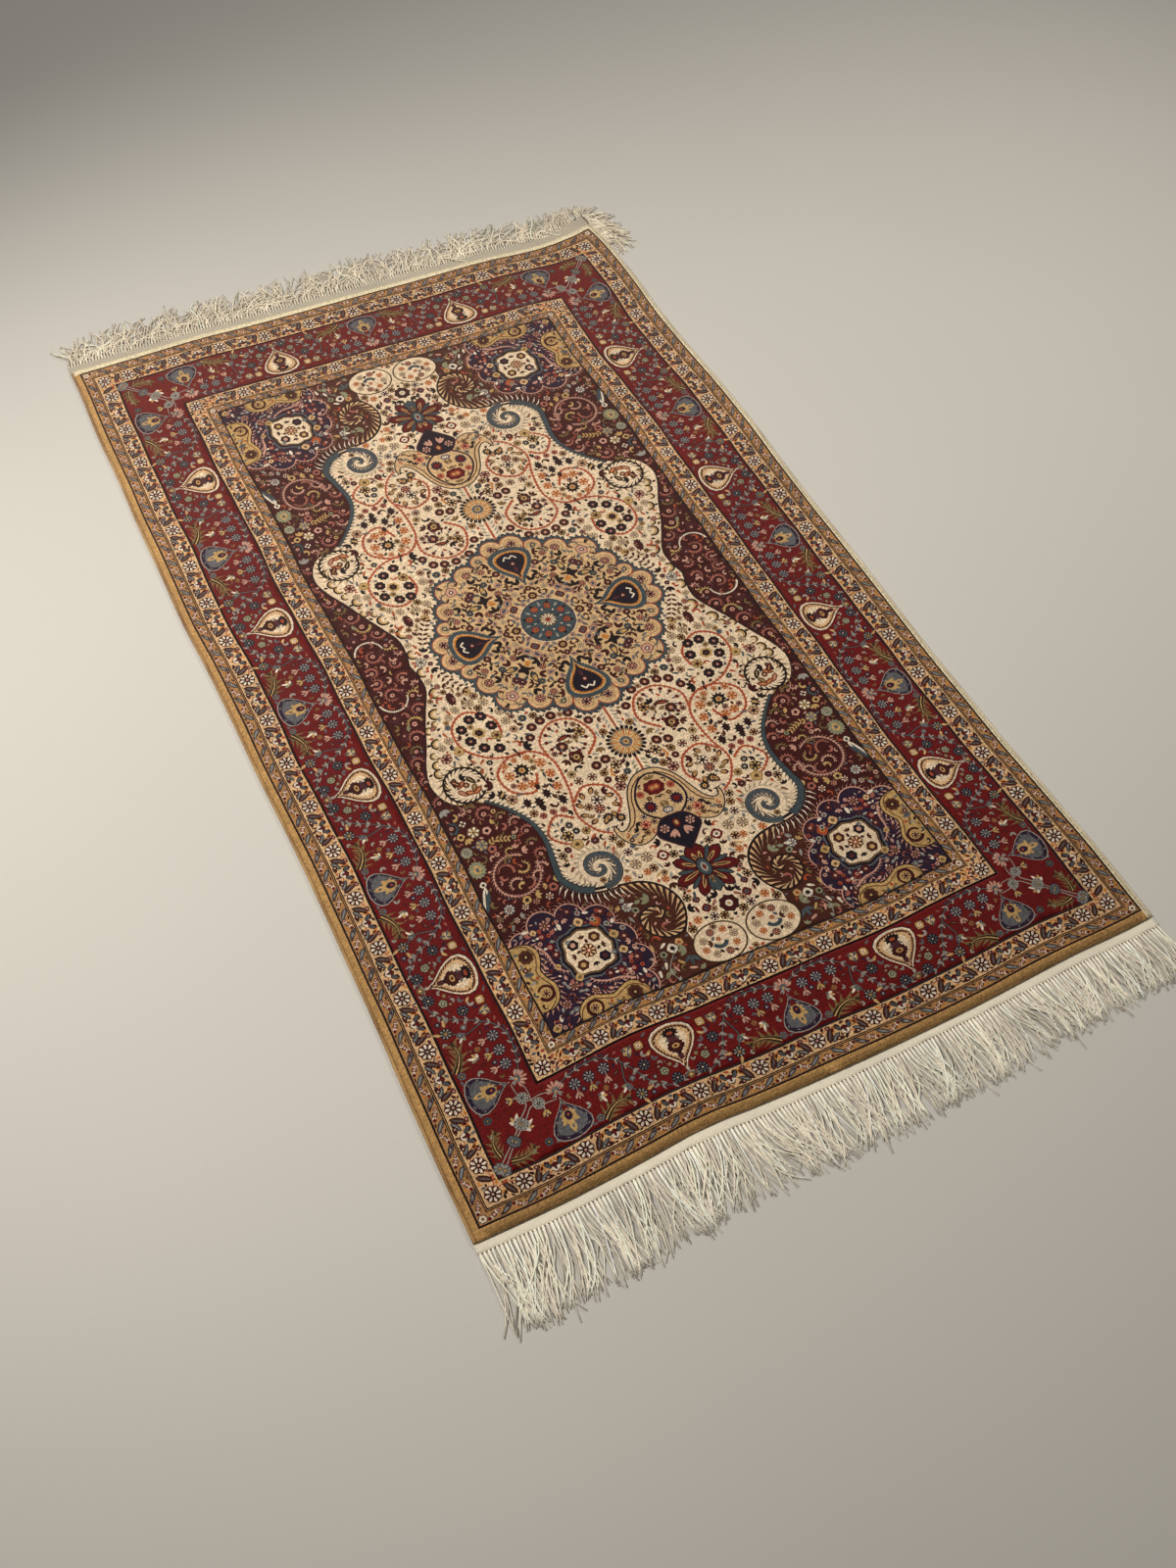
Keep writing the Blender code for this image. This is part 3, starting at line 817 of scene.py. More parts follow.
def draw_borders(art):
    """The grounds of the bands, then what lies on them. The red border's filling is laid once and repeated."""
    for dye, low, high in (
        ("gold", -4, EDGE_LINE), ("dark", EDGE_LINE, GUARD_A), ("ochre", GUARD_A, LINE_A),
        ("dark", LINE_A, LINE_A + 1.2), ("ochre", LINE_A + 1.2, LINE_A + 2.1), ("dark", LINE_A + 2.1, GUARD_B),
        ("cream", GUARD_B, LINE_B), ("dark", LINE_B, RED), ("brick", RED, LINE_C), ("dark", LINE_C, GUARD_C),
        ("cream", GUARD_C, LINE_D), ("dark", LINE_D, LINE_D + 1.1), ("ochre", LINE_D + 1.1, LINE_D + 2.0),
        ("dark", LINE_D + 2.0, GUARD_D), ("ochre", GUARD_D, LINE_E), ("dark", LINE_E, FIELD),
    ):
        ground(art, dye, low, high)
    draw_narrow_guard(art, GUARD_A, LINE_A)
    draw_cream_guard(art, GUARD_B, LINE_B)
    draw_cream_guard(art, GUARD_C, LINE_D)
    draw_narrow_guard(art, GUARD_D, LINE_E)
    for band, halves in RED_HALVES:
        for middle, way in halves:
            draw_red_half(art, band, middle, way)
    draw_red_corner(art)
    trial = Drawing()
    trial.patch("brick", [(0, RED + 1), (RED_REPEAT, RED + 1), (RED_REPEAT, LINE_C - 1), (0, LINE_C - 1)])
    draw_red_half(trial, lambda s, d: (s, d), 0, 1)
    trial.patch("dark", turned(heart_shape(57, 25), -90, 0, RED + 57))
    trial.patch("dark", turned(heart_shape(68, 29), 90, RED_REPEAT, RED + 11))
    seen = trial.raster(RED_REPEAT + 1, 138)
    laid = trial.fill(7, seen, ("brick",), (0, RED_REPEAT, 57, 137), (4.8, 3.6), 110, red_filling)
    for band, halves in RED_HALVES:
        for middle, way in halves:
            for dye, outline in laid:
                art.patch(dye, [band(middle + way * px, py) for px, py in outline])
    for band, drops in RED_DROPS:
        for i in range(drops):
            s = RED_REPEAT * i
            if i % 2 == 0:
                art.put_in(band, grey_drop(), s, RED + 55, -90)
                art.put_in(band, fan_palmette(), s, RED + 63, 90)
            else:
                art.put_in(band, pale_drop(), s, RED + 13.5, 90)
                art.put_in(band, bloom(4.6, 5, "olive", "yellow", "white"), s, RED + 8)


# The field
IVORY_EDGE = (
    (66, 520), (54, 500), (50, 478), (56, 458), (72, 441), (96, 429), (126, 428), (150, 421), (168, 404), (176, 382),
    (169, 358), (165, 332), (169, 304), (182, 278), (202, 254), (224, 240), (246, 235), (260, 218), (265, 194),
    (258, 168), (244, 138), (231, 107), (217, 78), (204, 50), (203, 26), (210, -8),
)
TEAL_LINE = ((212, 244), (190, 268), (171, 298), (164, 330), (169, 366), (172, 392), (156, 415), (140, 422))
DARK_LINE = (
    (112, 428), (84, 434), (64, 448), (53, 468), (52, 490), (64, 514), (84, 520), (104, 509), (111, 490), (104, 476),
    (88, 471), (76, 482), (86, 493),
)
STAR = (187, 497)
CARTOUCHE_BODY = ((*STAR, 52), (240, 540, 44), (236, 474, 30))
CARTOUCHE_LOBES = (
    (256, 459, 20), (222, 443, 20), (186, 445, 18), (156, 462, 20), (144, 496, 20), (138, 530, 19), (149, 564, 20)
)
RING_VINES = (
    ((142, 153), (142, 125), (172, 104), (200, 122), (201, 158), (176, 184), (150, 193), (128, 195)),
    (
        (129, 231), (144, 258), (172, 247), (178, 216), (154, 195), (122, 196), (101, 222), (102, 270), (111, 310),
        (98, 341), (80, 355),
    ),
    ((55, 231), (33, 206), (45, 171), (78, 164), (104, 186), (104, 212)),
    ((106, 292), (84, 274), (56, 285), (48, 312), (65, 334)),
    ((116, 314), (138, 303), (157, 326), (148, 342), (137, 349)),
)
# small flowers of the ivory ground: x, y, radius, kind
IVORY_FLOWERS = (
    (172, 117, 8, "night"), (155, 117, 8, "night"), (149, 136, 8, "night"), (189, 129, 8, "night"),
    (186, 151, 8, "night"), (174, 167, 8, "night"), (156, 175, 8, "night"), (170, 142, 8.5, "gold_night"),
    (145, 220, 11, "night_star"), (164, 223, 8.5, "amber"), (156, 244, 8, "amber"), (142, 246, 8, "amber"),
    (131, 203, 6, "amber"), (118, 218, 8.5, "amber"), (113, 238, 8, "amber"), (114, 260, 8, "amber"),
    (163, 205, 6, "amber"), (148, 201, 5, "amber"), (81, 206, 9, "umber"), (71, 228, 11, "umber_big"),
    (112, 175, 7, "umber"), (102, 160, 7.6, "umber"), (87, 155, 7.4, "umber"), (70, 153, 7.6, "umber"),
    (47, 158, 7.4, "umber"), (28, 180, 7, "umber"), (106, 141, 6.6, "teal"), (182, 95, 6.6, "pale"),
    (160, 91, 7.4, "pale"), (141, 96, 7, "pale"), (128, 118, 7, "pale"), (128, 136, 7, "pale"), (212, 138, 6.6, "pale"),
    (195, 103, 6, "pale"), (155, 72, 6, "gold_small"), (80, 314, 8, "pinkish"), (151, 297, 5.4, "brick"),
    (137, 296, 5.4, "brick"), (123, 297, 5.4, "brick"), (85, 264, 7, "umber_open"), (66, 265, 7, "umber_open"),
    (53, 251, 7.4, "umber"), (38, 247, 7.6, "umber"), (49, 278, 5.6, "umber"), (129, 352, 8, "gold_small"),
    (106, 355, 6.5, "plum"), (144, 356, 5.6, "plum"), (76, 331, 8, "night_star"), (61, 338, 7.5, "night_star"),
    (76, 409, 8, "pale"), (58, 405, 8, "pale"), (38, 411, 8.6, "red_big"), (68, 425, 6, "amber"),
    (53, 443, 6.4, "amber"), (39, 462, 7.2, "pinkish"), (96, 424, 6.5, "amber"), (34, 486, 5.6, "red_small"),
    (28, 502, 7, "red_small"), (46, 513, 6.6, "amber"), (192, 0, 8.4, "pale_big"), (181, 7, 4.4, "plum"),
    (127, 322, 6, "night_small"), (122, 333, 6, "night_small"), (178, 192, 5.4, "night_small"), (20, 277, 6, "teal"),
    (207, 160, 7, "gold_small"), (225, 145, 6, "pale"), (222, 110, 5, "pinkish"), (196, 35, 5.5, "pale"),
    (188, 48, 5, "pinkish"), (204, 118, 5, "teal_small"), (92, 385, 5, "pale"), (66, 383, 4.5, "teal_small"),
    (24, 440, 4.5, "pale"), (14, 425, 5, "pale"),
)


def toothed(dye, r, share, count, depth, step):
    """A toothed disc. Its radius, its teeth and their steps are shares of r."""
    return [(dye, saw(oval(r * share, r * share, count), r * depth, r * step))]


FLOWERS = {
    "night": lambda r: bloom(r * 1.08, 8, "dark", "plum", "rose"),
    "gold_night": lambda r: bloom(r * 1.15, 6, "yellow", "olive", None) + bloom(r * 0.7, 6, "dark", "plum", None),
    "night_star": lambda r: toothed("dark", r, 0.75, 12, 0.3, 0.42) + bloom(r * 0.45, 5, "yellow", "rust", None),
    "night_small": lambda r: toothed("dark", r, 0.7, 10, 0.3, 0.5) + [("mist", oval(r * 0.35, r * 0.35, 6))],
    "amber": lambda r: rosette(r, 5, "cream", "rust", "orange", "maroon"),
    "umber": lambda r: rosette(r, 8, "chocolate", "maroon", "rose", "orange"),
    "umber_big": lambda r: bloom(r, 9, "maroon", "yellow", "dark"),
    "umber_open": lambda r: rosette(r, 6, "ivory", "chocolate", "maroon", "rust"),
    "teal": lambda r: bloom(r, 7, "teal", "dark", "yellow"),
    "teal_small": lambda r: bloom(r, 5, "slate", "teal", None),
    "pale": lambda r: rosette(r, 7, "ivory", "olive", "mist", "rust"),
    "pale_big": lambda r: rosette(r, 8, "white", "slate", "dark", "yellow"),
    "gold_small": lambda r: bloom(r, 5, "yellow", "olive", "dark", "olive"),
    "pinkish": lambda r: rosette(r, 7, "rose", "maroon", "rust", "yellow"),
    "brick": lambda r: rosette(r, 6, "brick", "pink", "dark", None),
    "plum": lambda r: bloom(r, 6, "plum", "dark", "rose"),
    "red_big": lambda r: bloom(r * 1.05, 4, "brick", None, None) + bloom(r * 0.6, 6, "white", "olive", "dark"),
    "red_small": lambda r: bloom(r, 4, "wine", "slate", "dark"),
}


def leafy(path, dye, vein, length, width, step, spread=40, both=True):
    """Pairs of leaves along a stalk."""
    out = []
    run, want = 0.0, step / 2
    for a, b in zip(path, path[1:]):
        span = math.dist(a, b)
        heading = math.degrees(math.atan2(b[1] - a[1], b[0] - a[0]))
        while want <= run + span:
            t = (want - run) / span
            x, y = a[0] + (b[0] - a[0]) * t, a[1] + (b[1] - a[1]) * t
            for side in (1, -1) if both else (1,):
                for d, o in leaf(length, width, dye, vein, 0.8 * side):
                    out.append((d, turned(o, heading + spread * side, x, y)))
            want += step
        run += span
    return out


def draw_maroon_ground(art):
    """The dark side ground: curled leaves, a leafy spiral and the flowers between."""
    # curled leaves down the side, from the middle outward
    hooks = (
        (262, 9, 9, 40, 250, "pink"), (249, 36, 11, 190, 290, "pink"), (226, 14, 8.5, 200, 210, "pink"),
        (224, 47, 9, 190, 150, "yellow"), (226, 72, 10, 200, 220, "pink"), (241, 92, 12, 185, 180, "yellow"),
        (249, 114, 12, 180, 190, "pink"), (258, 134, 9, 180, 190, "olive"), (265, 153, 10.5, 180, 190, "pink"),
        (268, 184, 8.5, 170, 230, "pink"), (267, 222, 9, 150, 230, "pink"), (221, 262, 11, 200, 230, "pink"),
        (236, 250, 8, 190, 170, "olive"), (268, 264, 9, 90, 190, "teal"), (203, 275, 7.5, 190, 180, "olive"),
        (189, 291, 9.5, 200, 170, "rose"), (180, 309, 8.5, 200, 200, "pink"), (182, 329, 8, 190, 180, "olive"),
        (178, 348, 9, 190, 210, "pink"), (186, 366, 8, 170, 190, "rose"), (238, 60, 6, 30, 250, "plum"),
        (262, 72, 7, 10, 240, "plum"), (234, 33, 5, 0, 260, "plum"), (262, 104, 6, 30, 240, "plum"),
        (246, 246, 5.5, 20, 240, "rose"), (214, 30, 5, 180, 220, "rose"),
    )
    for x, y, r, turn, sweep, dye in hooks:
        art.put(hook(r, sweep, dye, "dark" if dye != "plum" else None, 3.0), x, y, turn)
        art.put(bloom(r * 0.34, 5, "rose" if dye != "rose" else "pink", "wine", None), x, y)
    stalk = arc(251, 42, 21, 10, 175, 3)
    art.put(ribbon("white", stalk, 2.4, 1.2) + barbs("white", stalk, 2.4, 2, 3.4))
    # a leafy spiral
    ring = arc(220, 362, 29, -130, 190, 3, 32)
    art.put(ribbon("dark", ring, 3.2) + ribbon("rose", ring, 1.7))
    art.put(barbs("rose", ring, 4.6, 2.4, 4.4, -1, 1.0) + barbs("rose", ring, 3.0, 2.0, 4.4, 1, 1.0))
    for x, y, r, turn, sweep, dye in (
        (232, 352, 12, 150, 190, "pink"), (207, 355, 9, 20, 230, "yellow"), (226, 376, 10, 200, 200, "rose"),
        (210, 378, 9, 60, 210, "pink"), (195, 376, 8.5, 200, 210, "rose"), (221, 340, 6, 200, 200, "olive"),
    ):
        art.put(hook(r, sweep, dye, "dark", 2.8), x, y, turn)
    # flowers between
    art.put(rosette(9, 6, "white", "olive", "yellow", "dark"), 244, 281)
    art.put(bloom(6, 4, "yellow", "dark", None), 262, 281)
    art.put(rosette(8.2, 8, "mist", "sage", "dark", "white"), 265, 305)
    sage_flower = [
        ("sage", saw(oval(10, 11, 14), 2.2, 4.5)), ("yellow", oval(5.5, 6.5, 10)), ("slate", oval(2.6, 3.4, 8))
    ]
    art.put(sage_flower, 263, 333)
    art.put(rosette(9, 6, "yellow", "slate", "mist", "dark"), 242, 303)
    art.put(leafy(curve([(234, 306), (222, 303), (207, 309)], 4), "yellow", None, 7, 2.8, 5), 0, 0)
    art.put(rosette(5.4, 5, "pink", None, "dark", None), 198, 320)
    art.put(rosette(4.6, 4, "white", None, None, "dark"), 252, 264)
    art.put(bloom(5, 4, "white", "dark", None), 265, 356)
    art.put(leaf(46, 9, "white", "teal", -8, "dark"), 264, 358, 78)
    art.put(leaf(34, 6, "teal", None, -5), 262, 366, 72)
    art.put(rosette(7.6, 8, "white", "slate", "wine", "white"), 249, 403)
    for x, y, dye, r in (
        (266, 410, "sage", 5.4), (229, 409, "white", 5.2), (213, 408, "rose", 5.0), (195, 408, "white", 6),
        (247, 421, "white", 4.6), (268, 425, "sage", 3.6)
    ):
        art.put(rosette(r, 6, dye, "chocolate", "rust", "yellow"), x, y)
    art.put(leaf(10, 4, "mist", "teal"), 254, 424, 60)
    art.put(bloom(6, 5, "yellow", "white", "rust", "dark"), 175, 388)
    art.put(hook(6, 220, "olive", "dark", 2.2), 250, 322, 40)
    art.put(hook(6, 220, "yellow", "dark", 2.2), 214, 328, 200)
    # white barbs under the turn of the teal line
    under = curve([(176, 396), (168, 410), (155, 421), (138, 429), (118, 431), (100, 433)], 4)
    art.put(barbs("white", under, 15, 4.4, 7.4, -1, 0.5) + barbs("dark", under, 8, 3.2, 7.4, -1, 0.1))


def draw_brown_end(art):
    """The brown ground beside the dark spiral."""
    art.put(rosette(7, 8, "white", "slate", "plum", "white"), 116, 461)
    for x, y, turn, dye in (
        (106, 458, 10, "white"), (120, 474, 100, "mist"), (98, 524, 20, "white"), (116, 520, 80, "yellow"),
        (110, 548, 60, "white"), (104, 556, 100, "rose"), (122, 556, 70, "white"), (96, 551, 120, "yellow"),
        (88, 566, 150, "rose"), (103, 572, 60, "mist"), (124, 536, 100, "rose"), (130, 452, 30, "olive"),
    ):
        art.put(leaf(11, 3.8, dye, None, 1.6), x, y, turn)
    art.put(bloom(7.5, 4, "white", "dark", None), 94, 534)
    art.put(bloom(5.6, 5, "yellow", "rust", None), 82, 529)
    for turn in (20, 70, 120):
        art.put(leaf(14, 5.4, "teal", "slate", 1.5), 78, 552, turn)
    art.put(leaf(11, 5, "sage", "olive", 1), 112, 562, 40)
    art.put(bloom(4.6, 5, "sage", "teal", "white"), 109, 563)
    art.put(ribbon("mist", curve([(84, 530), (100, 545), (110, 560), (106, 576)], 4), 1.0))


def draw_cartouche(art):
    """The scalloped dark blue corner piece with its pale star and gold clouds."""
    mid_x, mid_y = STAR
    for x, y, r in CARTOUCHE_LOBES:
        rim = oval(r + 1.4, r + 1.4, 26, x, y)
        art.put(barbs("rose", rim + rim[:1], 6.0, 2.6, 5.2, -1, 1.0))
    for grow, dye in ((3.0, "maroon"), (1.8, "rose")):
        for x, y, r in CARTOUCHE_LOBES:
            art.patch(dye, oval(r + grow, r + grow, 26, x, y))
    for x, y, r in CARTOUCHE_LOBES:
        art.patch("indigo", oval(r, r, 24, x, y))
    for x, y, r in CARTOUCHE_BODY:
        art.patch("indigo", oval(r, r, 30, x, y))
    art.patch("indigo", [(215, 500), (284, 460), (284, 586), (160, 586), (165, 540)])

    def both(motif, x=0, y=0, turn=0.0):
        """A motif, and again across the corner's diagonal, which runs through the star's middle."""
        for dye, outline in motif:
            outline = turned(outline, turn, x, y)
            art.patch(dye, outline)
            art.patch(dye, [(mid_x + (py - mid_y), mid_y + (px - mid_x)) for px, py in outline])

    cloud = curve((
        (284, 452), (268, 452), (252, 458), (245, 471), (248, 484), (253, 495), (249, 507), (243, 520), (246, 535),
        (256, 544), (268, 546), (284, 542),
    ), 4)
    feather = barbs("rose", cloud, 8, 4.4, 6.6, 1, 0.8) + ribbon("dark", cloud, 3.6)
    feather += [("yellow", cloud + [(290, 500)])] + ribbon("chocolate", [(x + 5, y) for x, y in cloud], 1.3)
    both(feather)
    both(ribbon("olive", curve([(262, 486), (268, 497), (262, 508)], 3), 3.4))
    both(bloom(9.6, 8, "chocolate", "dark", "yellow", "olive"), 261, 471)
    both(ribbon("maroon", arc(259, 524, 9.5, 20, 330, 3), 5.0, 3.0) + bloom(3.4, 5, "rust", "yellow", None))
    both(leaf(14, 6.5, "slate", "teal", 1.5), 274, 492, 160)
    both([("mist", petal(0, 9, 4))], 272, 508, 200)
    # the long pale feathers that part the clouds from the ground
    path = curve([(244, 462), (236, 478), (234, 494), (226, 508), (214, 514)], 4)
    both(ribbon("rose", path, 3.0, 1.2) + barbs("rose", path, 5, 2.6, 4.6, -1, 0.9))
    # the pale star
    star = []
    for i in range(32):
        a = 2 * math.pi * i / 32
        r = 30 + 1.5 * math.cos(4 * a - math.pi) + 1.6 * math.cos(8 * a)
        star.append((r * math.cos(a), r * math.sin(a)))
    for share, dye in ((1.26, "slate"), (1.21, "navy"), (1.08, "olive"), (1.04, "chocolate"), (1.0, "ivory")):
        outline = turned(star, 0, 0, 0, share)
        art.put([(dye, saw(outline, 1.6, 4.4) if dye == "slate" else outline)], *STAR)
    art.put(rosette(10.5, 8, "cream", "maroon", "rust", "white"), *STAR)
    in_star = (("chocolate", "yellow"), ("navy", "plum"), ("chocolate", "yellow"), ("dark", "rose"))
    for i, (dye, eye) in enumerate(in_star):
        a = math.radians(45 + 90 * i)
        art.put(bloom(8.2, 6, dye, eye, None), mid_x + 21 * math.cos(a), mid_y + 21 * math.sin(a))
        spray = leaves(random.Random(i), 4.4, ("chocolate", "dark"))
        art.put(spray, mid_x + 20 * math.cos(a + 0.8), mid_y + 20 * math.sin(a + 0.8), 90 * i + 90)
    # small flowers on the dark blue
    for x, y, r, kind in (
        (220, 443, 8.2, "rose"), (205, 452, 5.4, "cream_leaf"), (231, 455, 5.6, "red"), (228, 472, 6, "red"),
        (226, 484, 6.6, "plum"), (180, 456, 7, "cream"), (160, 463, 8.4, "rust"), (148, 453, 7.6, "plum"),
        (148, 489, 6.6, "yellow"), (138, 496, 6.5, "plum"), (148, 513, 6, "cream"), (138, 528, 7.2, "plum"),
        (163, 538, 6, "red"), (148, 541, 5.4, "red"), (177, 536, 6.6, "plum"), (224, 531, 7.4, "rose"),
        (243, 549, 6.8, "rose"), (203, 549, 6, "rose"), (213, 524, 6, "yellow"), (247, 441, 5, "cream_leaf"),
        (238, 446, 4.6, "cream"), (186, 437, 5.6, "plum"), (166, 447, 4.4, "cream_leaf"), (141, 471, 4.6, "cream_leaf"),
        (134, 517, 4, "cream_leaf"), (146, 560, 5.5, "plum"), (138, 549, 4.4, "cream_leaf"), (231, 500, 4.4, "yellow"),
        (208, 536, 4.2, "slate"), (236, 560, 4.6, "slate"), (258, 562, 5, "cream_leaf"), (268, 571, 6, "yellow"),
        (160, 512, 4, "slate"), (206, 476, 3.6, "slate"),
    ):
        motif = {
            "rose": lambda: rosette(r, 7, "rose", "plum", "maroon", "yellow"),
            "cream_leaf": lambda: [("white", turned(petal(-r, 2 * r, r), (x * 7 + y * 3) % 180))],
            "red": lambda: bloom(r, 4, "brick", "rose", "dark") + [("white", petal(r * 0.5, r, r * 0.6))],
            "plum": lambda: rosette(r, 7, "plum", "maroon", "rose", None),
            "cream": lambda: bloom(r, 4, "cream", "olive", None, "dark"),
            "rust": lambda: bloom(r, 4, "rust", "orange", "maroon"),
            "yellow": lambda: bloom(r, 4, "yellow", "olive", None),
            "slate": lambda: bloom(r, 5, "slate", "mist", None),
        }[kind]()
        art.put(motif, x, y)


def leaves(rng, r, dyes, count=3, spread=42):
    """Leaves spread from one foot."""
    dye = rng.choice(dyes)
    turns = [spread * (i - (count - 1) / 2) for i in range(count)]
    return [(dye, turned(petal(0, r * 1.5, r * 0.72, 0.5), turn, -r * 0.6)) for turn in turns]


def crescent(rng, r, dyes, edge=None):
    """A curled leaf."""
    dye, out = rng.choice(dyes), []
    path = arc(0, 0, r * 0.72, 0, 190, max(2.4, r * 0.5), r * 0.5)
    if edge:
        out += ribbon(edge, path, r * 0.62 + 1.6, r * 0.3 + 1.2)
    return out + ribbon(dye, path, r * 0.62, r * 0.2)


# What fills the bare grounds: each draws its motif from the seeded numbers of the fill
def speck(rng, r, dyes, width, length=2.0):
    """A single petal."""
    return [(rng.choice(dyes), petal(-r, length * r, r * width, 0.45))]


def ivory_filling(rng, r):
    kind, pick = rng.random(), rng.choice
    if r < 4:
        return speck(rng, r, ("chocolate", "maroon", "olive", "slate", "rust", "dark"), 1.2)
    if r < 5:
        if kind < 0.6:
            return leaves(rng, r, ("maroon", "chocolate", "dark", "slate", "rust", "olive", "teal"), 2, 70)
        dye = pick(("chocolate", "dark", "maroon", "slate"))
        return bloom(r * 0.95, 4, dye, pick(("rose", "yellow", "orange")), None)
    if kind < 0.3:
        return crescent(rng, r, ("chocolate", "dark", "rust", "dark", "slate", "maroon"))
    if kind < 0.62:
        return leaves(rng, r, ("chocolate", "dark", "maroon", "dark", "olive", "chocolate"))
    back = pick(("chocolate", "dark", "olive", "maroon", "chocolate"))
    return rosette(r, 6, pick(("white", "rose", "yellow", "cream", "yellow")), back, pick(("maroon", "dark")), None)


def maroon_filling(rng, r):
    kind = rng.random()
    if r < 3.2:
        return speck(rng, r, ("pink", "olive", "rose", "slate", "plum", "rust"), 1)
    if kind < 0.66:
        return crescent(rng, r, ("pink", "rust", "pink", "olive", "rose", "yellow"), "dark")
    if kind < 0.84:
        return bloom(r * 0.85, 5, rng.choice(("rose", "sage", "yellow", "pink")), "dark", None)
    return leaves(rng, r, ("mist", "yellow", "rose", "sage"))


def indigo_filling(rng, r):
    if r < 3.2:
        return speck(rng, r, ("rose", "mist", "pink", "rust", "white"), 0.9)
    if rng.random() < 0.5:
        return bloom(r * 0.9, 5, rng.choice(("rose", "plum", "rust", "mist")), rng.choice(("brick", "dark")), None)
    return leaves(rng, r, ("mist", "rose", "pink", "plum"))


def medallion_filling(rng, r):
    kind, pick = rng.random(), rng.choice
    if r < 4.4 or kind < 0.5:
        return leaves(rng, r, ("dark", "maroon", "chocolate", "dark", "slate", "maroon"), pick((2, 3)), 58)
    if kind < 0.72:
        return crescent(rng, r, ("slate", "plum", "teal", "chocolate", "rust"))
    out = [("plum", petal(-r, 2 * r, r * 1.5, 0.45)), ("rose", petal(-r * 0.9, 1.75 * r, r * 1.2, 0.45))]
    return out + [(pick(("teal", "dark", "maroon")), petal(-r * 0.7, r * 1.3, r * 0.7))]


def red_filling(rng, r):
    if rng.random() < 0.6:
        return leaves(rng, r, ("slate", "olive", "indigo", "mist", "wine"), 2, 66)
    dye = rng.choice(("slate", "plum", "olive", "indigo"))
    return bloom(r * 0.85, 4, dye, rng.choice(("mist", "rust", "yellow")), None)


def guard_filling(rng, r):
    return speck(rng, r, ("maroon", "maroon", "plum", "chocolate", "slate", "dark", "orange", "rust"), 1.1, 2.1)


def hood(r):
    """A half flower on the field's edge: dark, gold and pale arches, open along +x."""
    out = [("dark", arc(0, 0, r, 70, 290, 3) + [(r * 0.1, 0)])]
    out.append(("yellow", arc(0.8, 0, r * 0.76, 70, 290, 3) + [(r * 0.1, 0)]))
    out.append(("ivory", arc(1.6, 0, r * 0.5, 70, 290, 2) + [(r * 0.3, 0)]))
    for turn in (0, 35, -35):
        out.append(("ivory", turned(petal(0, r * 0.95, r * 0.5, 0.6), turn)))
    out.append(("chocolate", petal(r * 0.1, r * 0.55, r * 0.2)))
    return out


